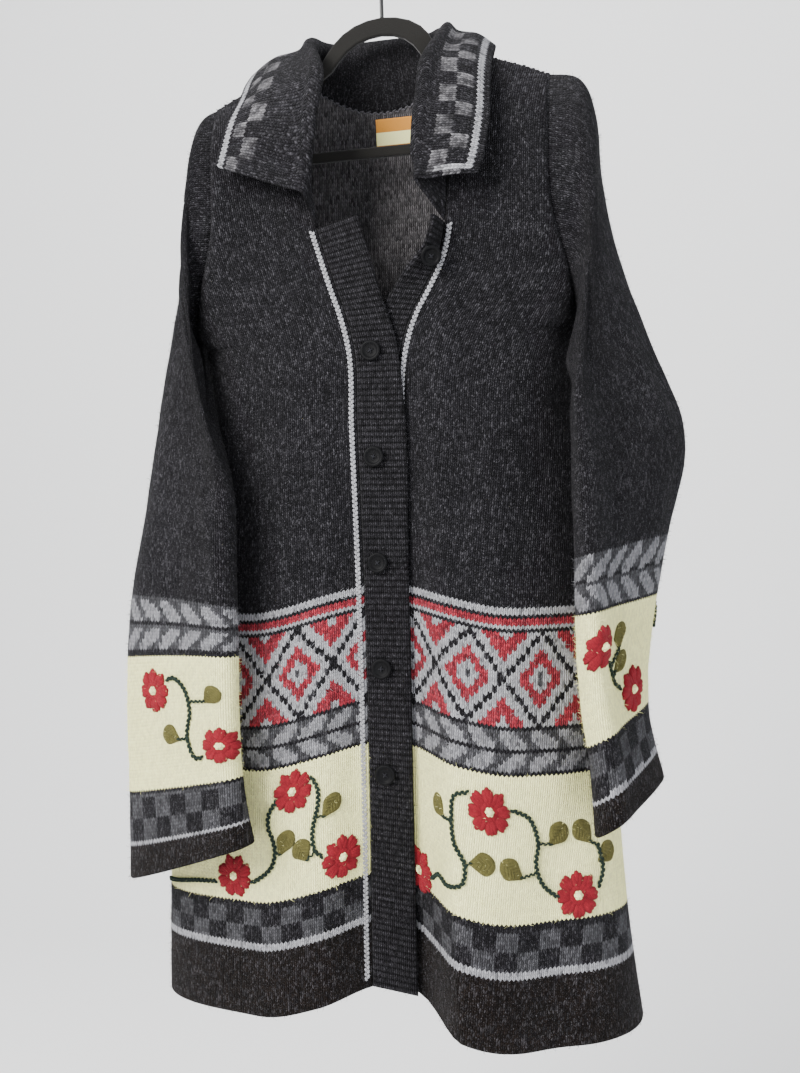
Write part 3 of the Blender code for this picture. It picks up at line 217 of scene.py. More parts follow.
SleeveFold = namedtuple("SleeveFold", "angle width height start end drift")
FOLDS_RIGHT = (
    SleeveFold(112, 26, -5, 0.2, 0.62, 18),
    SleeveFold(60, 22, 4, 0.3, 0.8, -10),
    SleeveFold(150, 20, 3, 0.45, 1.1, 0),
    SleeveFold(280, 26, -5, 0.2, 0.9, 20),
)
FOLDS_LEFT = (
    SleeveFold(104, 30, -10, 0.2, 0.95, 6),
    SleeveFold(146, 22, 6, 0.25, 1.2, 0),
    SleeveFold(40, 26, -5, 0.35, 0.75, 24),
    SleeveFold(270, 28, -6, 0.2, 0.9, -20),
)

SLEEVE_SQUARENESS = 2.4
SLEEVE_SEAM = 216.0

# Where the raised work lies on each panel, in millimetres. On a front, across runs from its inner
# edge, on the back from its middle, and on a sleeve round it from the seam. Up is from the hem or
# the cuff. A flower or a leaf is turned in degrees, and a leaf's narrow end points that way.
Motif = namedtuple("Motif", "across up turn")
FLOWERS = {
    "front_right": (Motif(76, 198, 10), Motif(29, 127, 0), Motif(136, 125, 20)),
    "front_left": (Motif(117, 191, 5), Motif(25, 115, 15), Motif(194, 122, 0)),
    "back": (
        Motif(-196, 128, 0), Motif(-120, 194, 12), Motif(-44, 122, 5), Motif(34, 192, 0),
        Motif(108, 126, 18), Motif(180, 190, 8),
    ),
    "sleeve_right": (Motif(194, 157, 10), Motif(274, 114, 0), Motif(46, 130, 5)),
    "sleeve_left": (Motif(232, 152, 0), Motif(178, 92, 12), Motif(50, 125, 0)),
}
LEAVES = {
    "front_right": (Motif(40, 176, -49), Motif(83, 154, -63), Motif(66, 143, -120)),
    "front_left": (
        Motif(63, 182, -37), Motif(109, 149, -171), Motif(135, 146, -35), Motif(179, 172, -134),
        Motif(203, 172, -54), Motif(226, 152, -150),
    ),
    "back": (
        Motif(-164, 192, -30), Motif(-148, 148, 200), Motif(-92, 146, -20), Motif(-70, 188, -140),
        Motif(-4, 148, 200), Motif(62, 150, -20), Motif(84, 192, -140), Motif(146, 150, 200),
    ),
    "sleeve_right": (Motif(266, 165, -135), Motif(217, 120, -18), Motif(92, 125, 150)),
    "sleeve_left": (Motif(196, 148, -90), Motif(196, 124, -20), Motif(96, 120, 150)),
}
VINES = {
    "front_right": (
        ((230, 108), (205, 112), (181, 116), (157, 118)),
        ((115, 121), (104, 127), (95, 135), (92, 145), (94, 158), (99, 171), (98, 183), (92, 192)),
        ((57, 206), (52, 194), (52, 178), (55, 165), (56, 150), (53, 139), (48, 134)),
    ),
    "front_left": (
        (
            (46, 117), (58, 125), (77, 123), (91, 129), (94, 145), (86, 159), (84, 178), (88, 199),
            (98, 203),
        ),
        ((138, 194), (152, 188), (160, 168), (157, 148), (163, 132), (175, 122)),
        ((214, 127), (220, 139), (216, 160)),
    ),
    "back": (
        ((-176, 137), (-168, 158), (-158, 176), (-140, 186)),
        ((-100, 186), (-86, 170), (-80, 150), (-65, 126)),
        ((-24, 131), (-12, 164), (2, 182), (14, 190)),
        ((54, 184), (70, 168), (76, 148), (88, 130)),
        ((128, 133), (136, 160), (146, 178), (160, 184)),
    ),
    "sleeve_right": (
        ((212, 170), (219, 173), (235, 165), (241, 147), (238, 118), (248, 100), (254, 101)),
        ((64, 143), (74, 160), (92, 168), (116, 158), (130, 134)),
    ),
    "sleeve_left": (
        ((220, 133), (215, 124), (209, 112), (199, 103)),
        ((69, 136), (78, 154), (96, 162), (116, 152), (128, 128)),
    ),
}

# Buttons and labels
BUTTON_X, BUTTON_TOP, BUTTON_STEP = -2.0, -389.0, 95.8
Label = namedtuple("Label", "left right bottom top thick")
LABEL = Label(-9.0, 30.0, -179.0, -152.0, 0.8)
SIZE_TAG = Label(31.5, 38.0, -171.0, -158.0, 0.6)
LABEL_COLUMNS, LABEL_ROWS, LABEL_GAP = 25, 15, 0.5
OPEN_BUTTON_Z, OPEN_BUTTON_GAP = -309.0, 4.9

# Fine grids of the cloth: rows and columns, closer together at the free edges
FRONT_SHARES = tuple(np.linspace(0, 1, 45) ** 1.05)
BODY_ROWS = (0, 0.3, 1, 2, 3.5, *(6 + 5.0 * k for k in range(118)), 601)
ARMHOLE_ROWS = 44
BACK_COLUMNS = 18
SLEEVE_COLUMNS = 96
SLEEVE_ROWS = (*np.linspace(0, 0.98, 118), 0.987, 0.992, 0.9955, 0.9975, 0.999, 1.0)
COLLAR_PLACES = (
    0, 0.006, 0.014, 0.026, 0.044, *np.linspace(0.07, 2.93, 150), 2.956, 2.974, 2.986, 2.994, 3.0,
)
COLLAR_SHARES = (*np.linspace(0, 0.97, 42), 0.982, 0.99, 0.996, 1.0)
BAND_COLUMNS = 15
RIB_STEPS = 8

# The knit: how a stitch climbs to its sides, its shadow, and the flecks in the wool
STITCH_CLIMB, STITCH_SHADOW = 1.2, (0.3, 0.95)
FLECK_FROM, FLECK_SHARE, FLECK_DARK = 0.8, 0.22, 0.1
FIBRE_FROM, FIBRE_SHARE, RIB_SHADOW = 0.55, 0.64, 0.2
NUB_DEPTH = 1.1
# The scales of the wool's noise, to a metre, and how the surfaces shine
FIBRE_GRAIN, HAIR_GRAIN, PATCH_GRAIN, NUB_GRAIN = 1500.0, 850.0, 22.0, 210.0
SOFT_SPECULAR, HARD_SPECULAR, SHEEN_ROUGHNESS, SHEEN_TINT = 0.07, 0.3, 0.45, (0.8, 0.8, 0.82, 1)
# How much taller the rows are drawn on the garment's inside
INSIDE_STRETCH = 1.3
LEAF_REPEAT = 27.0
PATTERN_START = {"front_right": 32.4, "front_left": 12.0, "back": 0.0}
MOTIF_LEVEL, SLEEVE_MOTIF_LEVEL = 158.0, 0.83
# The knit's ease under the arms, where the body and the sleeves lie against each other
EASE_AT, EASE_SPAN, EASE_REACH = 582.0, 48.0, 13.0
TUCK_AT, TUCK_SPAN, TUCK_REACH = 0.2, 0.12, 17.0
ROW_TILT = {"sleeve_right": -0.25, "sleeve_left": 0.62}
TILT_FROM, TILT_RANGE, TILT_END = 30.0, 130.0, 520.0
CREAM_ZONES = {
    "front_right": (101, 218), "front_left": (101, 218), "back": (101, 218),
    "sleeve_right": (70, 193), "sleeve_left": (69, 172),
}
COLLAR_LINE, COLLAR_CHECKS, COLLAR_PERIOD = (2.5, 8.0), (12.0, 26.0, 40.0), 28.0
COLLAR_MIDDLE, COLLAR_MARGIN, COLLAR_LENGTH, COLLAR_TURN = 310.0, 5.0, 619.4, 36.0

NAP_COUNTS = {
    "back": 10000, "front_right": 17500, "front_left": 17500, "sleeve_right": 15000, "sleeve_left": 15000,
    "band_right": 4000, "band_left": 4000,
}

# Raised crochet: how high it lies, and the sizes of its parts
PETAL_GAP, PETAL_STITCH, PETAL_HEIGHT, FLOWER_PETALS = 0.15, 6.5, 2.9, 8
KNOT_RADIUS, KNOT_BEADS = 2.9, 6
LEAF_LENGTH, LEAF_WIDTH, LEAF_HEIGHT = 23.5, 16.5, 2.8
LEAF_SEGMENTS, LEAF_RINGS, LEAF_RIDGE = 72, 14, 3.4
VINE_RISE, STEM_LIMIT = 1.3, 34.0
CORD_RISE, CORD_INSET, SEAM_RISE = 1.0, 5.0, 0.1
RIGHT_CORD, LEFT_CORD = (8.0, 704.0), (520.0, 704.0)

# Buttons: a turned outline, radius and height, with four eyes
BUTTON_PROFILE = (
    (0, 0.3), (6.5, 0.3), (7.9, 0.55), (9.0, 1.4), (9.45, 2.4), (9.5, 3.1), (9.25, 3.9), (8.7, 4.45),
    (8.1, 4.6), (7.3, 4.55), (6.7, 4.3), (6.2, 3.8), (5.7, 3.45), (4.8, 3.25), (3.0, 3.15), (0, 3.1),
)
EYES = ((1.7, 1.7), (-1.7, 1.7), (-1.7, -1.7), (1.7, -1.7))
EYE_PROFILE = ((0, 2.6), (1.0, 2.7), (1.25, 3.1), (1.15, 3.42), (0.85, 3.45), (0.7, 3.2), (0, 3.15))

# Camera, backdrop and lights, in metres
CAMERA_TURN, CAMERA_ROLL, CAMERA_REACH = 12.0, 2.0, 1.187
SENSOR_WIDTH, FOCAL_PIXELS, PHOTO_HEIGHT = 36.0, 1250, 1073
CAMERA_LENS = SENSOR_WIDTH * FOCAL_PIXELS / PHOTO_HEIGHT
CAMERA_PLACE = (
    0.006 + math.sin(math.radians(CAMERA_TURN)) * CAMERA_REACH,
    -math.cos(math.radians(CAMERA_TURN)) * CAMERA_REACH,
    -0.5576,
)
BACKDROP_FLOOR, BACKDROP_WALL, BACKDROP_NEAR, BACKDROP_TOP = -1.35, 2.2, -4.0, 3.0
BACKDROP_HALF, BACKDROP_STEPS = 6.0, 12
LIGHTS = (
    ("key", (-1.3, -1.9, 0.6), (0, 0, -0.5), 1.3, 1.6, 172.0, (1.0, 0.985, 0.96)),
    ("fill", (1.9, -1.6, -0.2), (0, 0, -0.6), 1.6, 2.0, 41.0, (0.96, 0.975, 1.0)),
    ("paper", (0.0, 0.3, 1.9), (0, 1.8, -0.8), 3.4, 1.2, 62.0, (1, 1, 1)),
)
WORLD_COLOUR, WORLD_LIGHT = (0.92, 0.95, 1.0, 1), 0.8

# The form of a cloth piece's cut: width and length in metres, and area in square metres; no piece here is
# given one
Cut = namedtuple("Cut", "flat area")


def hand(side):
    return "right" if side < 0 else "left"


def side_of(name):
    return RIGHT if name.endswith("right") else LEFT


def smoothstep(t):
    t = np.clip(t, 0.0, 1.0)
    return t * t * (3.0 - 2.0 * t)


def unit(vectors):
    vectors = np.asarray(vectors, float)
    return vectors / np.maximum(np.linalg.norm(vectors, axis=-1, keepdims=True), 1e-9)


def spline(knots, values, at):
    """A smooth curve through rows of values at rising knots."""
    knots = np.asarray(knots, float)
    values = np.asarray(values, float)
    slopes = np.gradient(values, knots, axis=0)
    at = np.clip(np.asarray(at, float), knots[0], knots[-1])
    low = np.clip(np.searchsorted(knots, at, side="right") - 1, 0, len(knots) - 2)
    width = knots[low + 1] - knots[low]
    t = (at - knots[low]) / width
    extra = (1,) * (values.ndim - 1)
    t = t.reshape(t.shape + extra)
    width = width.reshape(width.shape + extra)
    start = (2 * t**3 - 3 * t**2 + 1) * values[low]
    end = (3 * t**2 - 2 * t**3) * values[low + 1]
    leave = (t**3 - 2 * t**2 + t) * width * slopes[low]
    arrive = (t**3 - t**2) * width * slopes[low + 1]
    return start + end + leave + arrive


def column_of(rows, name):
    return [getattr(row, name) for row in rows]


def body_value(name, height):
    return spline(column_of(BODY, "height"), column_of(BODY, name), height)


def sag(x, height):
    """How far a level of the knit hangs below its height at the middle, more on the wearer's left."""
    left = LEFT_DROP * smoothstep(x / LEFT_DROP_WIDTH) * (1 - smoothstep(height / LEFT_DROP_TOP))
    return HEM_SAG * smoothstep(np.abs(x) / SAG_WIDTH) + left


def back_sag(x, height):
    """The back hangs level from side seam to side seam."""
    right, left = sag(-SAG_WIDTH, height), sag(SAG_WIDTH, height)
    return right + (left - right) * smoothstep(x / (2 * SAG_WIDTH) + 0.5)


def drop_below_ridge(x, z):
    ridge = np.interp(np.abs(x), RIDGE_X, RIDGE_Z)
    return np.maximum(ridge - z, 0.0)


def armhole_opening(height):
    """Half the gap between front and back along the armhole, nothing at and below the underarm."""
    share = (height - ARMHOLE_MIDDLE) / ARMHOLE_REACH
    return ARMHOLE_HALF_DEPTH * np.sqrt(np.clip(1 - share**2, 0, 1))


def folds_at(folds, x, height):
    """How far the soft folds stand out."""
    out = np.zeros(np.broadcast(x, height).shape)
    for fold in folds:
        middle = (fold.bottom + fold.top) / 2
        reach = (fold.top - fold.bottom) / 2
        along = smoothstep((1 - np.abs(height - middle) / reach) * 1.6)
        out = out + fold.height * along * np.exp(-(((x - fold.across) / fold.width) ** 2))
    return out


def half_width(side, height):
    ease = EASE_REACH * np.exp(-(((height - EASE_AT) / EASE_SPAN) ** 2))
    return body_value(hand(side), height) + ease


def width_at(where, height):
    """Half the body's width on the side that where lies on."""
    return np.where(where < 0, half_width(RIGHT, height), half_width(LEFT, height))


def roundness(ratio):
    """How far the rounded section still stands out at a share of its half width."""
    return np.clip(1 - np.clip(ratio, 0, 1) ** SQUARENESS, 0, 1) ** (1 / SQUARENESS)


def front_depth(side, x, height):
    """How far the front's middle surface lies in front of the hanger's plane."""
    width = half_width(side, height)
    reach = body_value("front_" + hand(side), height)
    opening = armhole_opening(height)
    edge = opening * np.clip(x / (side * width), 0, 1) ** EDGE_SHARPNESS
    panel = (reach + folds_at(FRONT_FOLDS, x, height)) * roundness(x / (side * width)) + edge
    step = 0.0 if side < 0 else UNDER_BAND_STEP
    middle = body_value("centre", height) - step
    start = FLAT_RIGHT if side < 0 else FLAT_LEFT
    out = smoothstep((side * x - start) / FLAT_FADE)
    out = np.maximum(out, smoothstep((height - PARTING) / PARTING_FADE))
    return middle + (panel - middle) * out


def ridge_rounding(x, z):
    q = np.clip(drop_below_ridge(x, z) / RIDGE_DROP, 0, 1)
    return np.sqrt(1 - (1 - q) ** 2)


def front_point(side, x, height):
    z = HEM_Z + height - sag(x, height)
    y = -front_depth(side, x, height) * ridge_rounding(x, z)
    return np.stack(np.broadcast_arrays(x, y, z), -1)


def back_point(x, height):
    width = width_at(x, height)
    reach = body_value("back", height) + folds_at(BACK_FOLDS, x, height)
    opening = armhole_opening(height)
    z = HEM_Z + height - back_sag(x, height)
    edge = opening * np.clip(np.abs(x) / width, 0, 1) ** EDGE_SHARPNESS
    y = (reach * roundness(np.abs(x) / width) + edge) * ridge_rounding(x, z)
    return np.stack(np.broadcast_arrays(x, y, z), -1)


def height_of(x, z, hang=sag):
    """The height above the hem of a place in the upper body."""
    return z - HEM_Z + hang(x, LEFT_DROP_TOP)


def around(share, inner, width):
    """Where a column lies across: even steps of angle round the rounded section."""
    ratio = np.clip(np.abs(inner) / width, 0, 1) ** (SQUARENESS / 2)
    angle = np.arccos(ratio) * (1 - share)
    return width * np.cos(angle) ** (2 / SQUARENESS)


def front_edge(side, height):
    return spline(column_of(FRONT_EDGE, "height"), column_of(FRONT_EDGE, hand(side)), height)


def front_surface(side, share, height):
    """Middle surface of a front: share runs from its inner edge, 0, to its side or armhole, 1."""
    inner = front_edge(side, height)
    return front_point(side, side * around(share, inner, half_width(side, height)), height)


def back_surface(share, height):
    """Middle surface of the back: share runs from -1 at the wearer's right to 1 at the left."""
    side = np.where(share < 0, RIGHT, LEFT)
    width = width_at(share, height)
    x = side * width * np.sin(np.abs(share) * math.pi / 2) ** (2 / SQUARENESS)
    return back_point(x, height)


def armhole_share(count=ARMHOLE_ROWS):
    """Heights up an armhole, as shares, close together at both ends."""
    return (1 - np.cos(np.linspace(0, math.pi, count + 1))) / 2


def normals_of(surface, a, b, step_a, step_b):
    """Unit normals of a surface of two values, by small steps."""
    across = surface(a + step_a, b) - surface(a - step_a, b)
    along = surface(a, b + step_b) - surface(a, b - step_b)
    return unit(np.cross(across, along))


def armhole_mitre(side, height, facing=-1):
    """The seam's bisector at the armhole, away from its middle: facing is -1 in front, 1 behind."""
    t = np.clip((height - ARMHOLE_MIDDLE) / ARMHOLE_REACH, -1, 1)
    level = facing * np.sqrt(1 - t**2) / ARMHOLE_HALF_DEPTH
    lean = side * SHOULDER_LEAN * np.maximum(t, 0) ** 4 / ARMHOLE_REACH
    return unit(np.stack([lean, level, t / ARMHOLE_REACH], -1))


def tangent_of(points):
    return unit(np.gradient(points, axis=0))


def lengths_along(points):
    return np.concatenate([[0], np.cumsum(np.linalg.norm(np.diff(points, axis=0), axis=1))])


def ridge_height(x):
    return height_of(x, np.interp(np.abs(x), RIDGE_X, RIDGE_Z))


def neck_mitre(at):
    """The neck seam's bisector, by place along the collar."""
    return unit(spline(column_of(COLLAR, "at"), column_of(COLLAR, "mitre"), at))


def fan_rows(top):
    """Heights of a body grid's rows: level below the underarm, then fanned up to the top edge."""
    rows = [np.full_like(top, level) for level in BODY_ROWS]
    rows += [UNDERARM + (top - UNDERARM) * up for up in armhole_share()]
    return np.array(rows)


def shoulder_lean(side):
    """The shoulder seam's bisector, square to the ridge."""
    return unit(np.array([side * SHOULDER_LEAN, 0.0, 1.0]))


def seam_way(points, offset, inwards):
    """Which way lies across a seam on its wall's side, square to the seam and its bisector."""
    across = unit(np.cross(tangent_of(points), offset))
    return across * np.sign((across * inwards).sum(-1, keepdims=True))


def front_grid(side):
    """Middle points, offsets and heights of a front, and the way off its inner edge."""
    share = np.array(FRONT_SHARES, float)
    top_x = around(share, NECK_X, half_width(side, ARMHOLE_TOP))
    height = fan_rows(ridge_height(top_x))
    shares = np.broadcast_to(share, height.shape)

    def surface(a, b):
        return front_surface(side, np.clip(a, 0, 1), b)

    middle = surface(shares, height)
    middle[-1] = np.stack([side * top_x, 0 * top_x, np.interp(top_x, RIDGE_X, RIDGE_Z)], -1)
    offset = normals_of(surface, shares, height, 2e-3, 0.5)
    offset = offset * np.where(offset[..., 1:2] > 0, -1, 1)
    seam = len(BODY_ROWS)
    offset[:seam, -1] = (side, 0, 0)
    offset[-1] = shoulder_lean(side)
    offset[seam:, -1] = armhole_mitre(side, height[seam:, -1])
    neck = np.clip((height[:, 0] - NECK_END) / (height[-1, 0] - NECK_END), 0, 1)
    on_neck = height[:, 0] > NECK_END
    at = neck if side < 0 else 3 - neck
    offset[on_neck, 0] = neck_mitre(at[on_neck])
    way = seam_way(middle[:, 0], offset[:, 0], middle[:, 1] - middle[:, 0])
    middle[:, 0] += way * SEAM_GAP / 2
    middle[: seam + 1, -1, 1] -= SEAM_GAP / 2
    middle[seam:, -1, 0] -= side * SEAM_GAP / 2
    middle[-1, :, 1] -= SEAM_GAP / 2
    return middle, offset, height, way


def front_rim(side, height, gap):
    """Points beside a front's inner edge, a gap away, and the rim's directions, at given heights."""
    middle, offset, rows, way = front_grid(side)
    edge = middle[:, 0] - way * gap
    points = np.stack([np.interp(height, rows[:, 0], edge[:, k]) for k in range(3)], -1)
    leans = np.stack([np.interp(height, rows[:, 0], offset[:, 0, k]) for k in range(3)], -1)
    return points, leans


def back_shares():
    """Columns of the back, two of them at the neck points."""
    corner = math.asin((NECK_X / half_width(RIGHT, ARMHOLE_TOP)) ** (SQUARENESS / 2)) * 2 / math.pi
    outer = np.linspace(corner, 1, BACK_COLUMNS + 1)
    inner = np.linspace(-corner, corner, BACK_COLUMNS + 1)
    return np.concatenate([-outer[:0:-1], inner, outer[1:]])


def back_neck_z(x):
    return BACK_NECK_Z + (NECK_Z - BACK_NECK_Z) * (x / NECK_X) ** 2


def back_grid():
    """Middle points, offsets, heights and columns of the back, and which columns end at the neck."""
    share = back_shares()
    side = np.sign(share)
    width = width_at(share, ARMHOLE_TOP)
    top_x = side * width * np.sin(np.abs(share) * math.pi / 2) ** (2 / SQUARENESS)
    in_neck = np.abs(top_x) < NECK_X - 3
    top_z = np.where(in_neck, back_neck_z(top_x), np.interp(np.abs(top_x), RIDGE_X, RIDGE_Z))
    height = fan_rows(height_of(top_x, top_z, back_sag))
    shares = np.broadcast_to(share, height.shape)

    def surface(a, b):
        return back_surface(np.clip(a, -1, 1), b)

    middle = surface(shares, height)
    middle[-1, ~in_neck, 1] = 0
    offset = normals_of(surface, shares, height, 2e-3, 0.5)
    offset = offset * np.where(offset[..., 1:2] < 0, -1, 1)
    seam = len(BODY_ROWS)
    for column, way in ((0, RIGHT), (-1, LEFT)):
        offset[:seam, column] = (way, 0, 0)
        offset[-1, np.sign(share) == way] = shoulder_lean(way)
        offset[seam:, column] = armhole_mitre(way, height[seam:, column], 1)
        middle[: seam + 1, column, 1] += SEAM_GAP / 2
        middle[seam:, column, 0] -= way * SEAM_GAP / 2
    offset[-1, in_neck] = neck_mitre(1.5 + top_x[in_neck] / (2 * NECK_X))
    middle[-1, ~in_neck, 1] += SEAM_GAP / 2
    middle[-1, in_neck, 2] -= SEAM_GAP / 2
    return middle, offset, height, share


def sleeve_ring(side, angle, along):
    """A point of a sleeve's middle surface: angle from the outer fold by the front, in degrees."""
    rows = SLEEVE_RIGHT if side < 0 else SLEEVE_LEFT
    folds = FOLDS_RIGHT if side < 0 else FOLDS_LEFT
    knots = np.linspace(0, 1, len(rows))
    outer = spline(knots, column_of(rows, "outer"), along)
    inner = spline(knots, column_of(rows, "inner"), along)
    thick = spline(knots, column_of(rows, "thick"), along)[..., None]
    centre = (outer + inner) / 2
    reach = (outer - inner) / 2
    level = unit(reach)
    facing = np.array([0.0, -1.0, 0.0]) - (-level[..., 1:2]) * level
    facing = unit(facing)
    turn = np.radians(angle)
    c = (np.sign(np.cos(turn)) * np.abs(np.cos(turn)) ** (2 / SLEEVE_SQUARENESS))[..., None]
    s = (np.sign(np.sin(turn)) * np.abs(np.sin(turn)) ** (2 / SLEEVE_SQUARENESS))[..., None]
    point = centre + reach * c + facing * thick * s
    way = unit(level * c * 0.4 + facing * s)
    for fold in folds:
        swing = fold.angle + fold.drift * (along - 0.5)
        gap = (angle - swing + 180) % 360 - 180
        span = smoothstep((along - fold.start) / 0.16) * smoothstep((fold.end - along) / 0.16)
        amount = fold.height * span * np.exp(-((gap / fold.width) ** 2))
        point = point + way * amount[..., None]
    return point


def armhole_ring(side, angle):
    """The armhole's seam, by the same angle: 0 at the shoulder, 90 in front, 180 underarm."""
    turn = np.radians(angle)
    height = ARMHOLE_MIDDLE + ARMHOLE_REACH * np.cos(turn)
    x = side * half_width(side, height)
    z = HEM_Z + height - sag(x, height)
    y = -np.sign(np.sin(turn)) * armhole_opening(height) * ridge_rounding(x, z)
    return np.stack([x, y, z], -1), height


def sleeve_surface(side, angle, along):
    """The sleeve's middle surface, led into the armhole's seam at its top."""
    point = sleeve_ring(side, angle, along)
    seam, _ = armhole_ring(side, angle)
    start = sleeve_ring(side, angle, np.zeros_like(along))
    lead = (1 - smoothstep(along / CAP_FADE))[..., None]
    inner = np.clip(-np.cos(np.radians(angle)), 0, 1) ** 2
    tuck = TUCK_REACH * inner * np.exp(-(((along - TUCK_AT) / TUCK_SPAN) ** 2))
    return point + (seam - start) * lead - tuck[..., None] * np.array([side, 0.0, 0.0])


def collar_seam(at):
    """The collar's lower edge, a gap above the neck, from the right front end, 0, to the left, 3."""
    top = height_of(NECK_X, NECK_Z)
    back = back_grid()[0][-1]
    points = np.zeros((len(at), 3))
    behind = (at >= 1) & (at <= 2)
    x = NECK_X * 2 * (at[behind] - 1.5)
    points[behind] = np.stack([x, *(np.interp(x, back[:, 0], back[:, k]) for k in (1, 2))], -1)
    points[behind, 2] += NECK_GAP
    for side, ahead, climb in ((RIGHT, at < 1, at), (LEFT, at > 2, 3 - at)):
        height = NECK_END + (top - NECK_END) * climb[ahead]
        points[ahead] = front_rim(side, height, NECK_GAP)[0]
    corner = np.minimum(np.abs(at - 1), np.abs(at - 2))
    points[:, 2] += CORNER_GAP * (1 - smoothstep(corner / 0.3))
    return points


def band_grid(side):
    """Middle points and offsets of a button band: its seam with the front and its free edge."""
    rows = TOP_BAND_FREE if side < 0 else UNDER_BAND_FREE
    own = front_grid(side)[2][:, 0]
    own = own[own < NECK_END - 2]
    between = (own[1:] + own[:-1])[own[1:] > BODY_ROWS[-2]] / 2
    height = np.sort(np.concatenate([own, between, [NECK_END - 2]]))
    seam, mitre = front_rim(side, height, SEAM_GAP)
    knots = column_of(rows, "height")
    free_x = spline(knots, column_of(rows, "x"), height)
    free_y = spline(knots, column_of(rows, "y"), height)
    free = np.stack([free_x, free_y, HEM_Z + height - sag(free_x, height)], -1)
    middle = np.stack([seam, free], 1)
    offset = unit(np.cross(free - seam, tangent_of(free)))
    offset = offset * np.where((offset * mitre).sum(-1, keepdims=True) < 0, -1, 1)
    return middle, np.stack([mitre, offset], 1)


# Soft creases left by hanging and handling: where each lies on its piece, in the knit's measures,
# its length, its lean from upright in degrees, its width and how far it stands out
Crease = namedtuple("Crease", "across up length lean width depth")
CREASES = {
    "front_right": (
        Crease(60, 520, 300, 6, 20, 2.2), Crease(118, 470, 260, -5, 16, -2.4),
        Crease(168, 560, 220, 8, 14, -2.2), Crease(40, 720, 170, 22, 12, -1.8),
        Crease(92, 300, 150, -14, 22, 1.8), Crease(28, 440, 120, 34, 9, 1.2),
        Crease(150, 690, 120, -30, 10, 1.6), Crease(200, 180, 210, 4, 18, 2.0),
    ),
    "front_left": (
        Crease(52, 560, 280, -8, 18, -2.2), Crease(104, 500, 330, 5, 22, 2.6),
        Crease(150, 600, 210, -10, 13, -2.6), Crease(36, 700, 150, -26, 11, 1.6),
        Crease(84, 330, 170, 16, 20, -1.6), Crease(140, 360, 120, -32, 10, 1.4),
        Crease(176, 250, 200, 6, 16, 2.2), Crease(66, 640, 90, 52, 8, -1.2),
    ),
    "back": (
        Crease(-160, 420, 330, 5, 20, 2.6), Crease(-96, 520, 420, -4, 24, -2.4),
        Crease(-30, 460, 360, 6, 20, 2.0), Crease(46, 560, 300, -8, 22, -2.2),
        Crease(110, 430, 360, 5, 22, 2.6), Crease(168, 360, 260, -7, 16, -2.0),
        Crease(-120, 720, 180, 34, 12, 1.6), Crease(126, 730, 160, -36, 12, 1.6),
        Crease(-20, 740, 150, 64, 12, -1.6), Crease(10, 250, 170, -12, 18, 1.6),
    ),
    "sleeve_right": (
        Crease(20, 560, 230, -12, 13, 2.4), Crease(-34, 470, 210, 9, 12, -2.4),
        Crease(48, 330, 160, -20, 10, 2.0), Crease(8, 240, 130, 14, 12, -2.0),
        Crease(-52, 640, 120, 30, 10, 1.8), Crease(120, 420, 260, 6, 18, -2.2),
        Crease(-120, 380, 240, -6, 16, 2.0), Crease(66, 620, 90, -46, 9, -1.6),
    ),
    "sleeve_left": (
        Crease(-26, 560, 260, 8, 12, 3.0), Crease(30, 470, 240, -9, 13, -2.8),
        Crease(-50, 330, 150, 18, 10, 2.0), Crease(22, 250, 120, -16, 12, 2.0),
        Crease(54, 620, 110, -32, 10, 1.8), Crease(-120, 430, 250, -6, 16, -2.2),
        Crease(120, 360, 240, 7, 16, 2.2), Crease(-8, 400, 90, 48, 9, -1.8),
    ),
    "collar": (
        Crease(60, 46, 60, 40, 12, 1.6), Crease(150, 60, 70, -24, 14, -1.4),
        Crease(300, 50, 80, 18, 14, 1.4), Crease(430, 56, 60, -36, 12, 1.6),
    ),
}
CREASE_BEND = 0.18

# Unevenness of the knit: how far it stands out, over what distance
UNEVEN_HEIGHT, UNEVEN_SCALE = 0.55, 26.0
BOBBLE_HEIGHT, BOBBLE_SCALE = 0.5, 7.0
SOFT_EDGE = 2.4
EDGE_LEFT = 0.2


def uneven(points, scale, seed):
    """Smooth noise from -1 to 1 at each point."""
    shift = Vector((seed * 31.7, seed * 17.3, seed * 7.9))
    flat = points.reshape(-1, 3) / scale
    values = [noise.noise(Vector(p) + shift) for p in flat]
    return np.array(values).reshape(points.shape[:-1])


def crease_heights(name, across, up):
    out = np.zeros(across.shape)
    for crease in CREASES.get(name, ()):
        lean = math.radians(crease.lean)
        dx, dy = across - crease.across, up - crease.up
        along = (dy * math.cos(lean) + dx * math.sin(lean)) / (crease.length / 2)
        beside = dx * math.cos(lean) - dy * math.sin(lean)
        beside = beside + CREASE_BEND * crease.width * along**2
        reach = smoothstep((1 - np.abs(along)) * 1.5)
        out = out + crease.depth * reach * np.exp(-((beside / crease.width) ** 2))
    return out


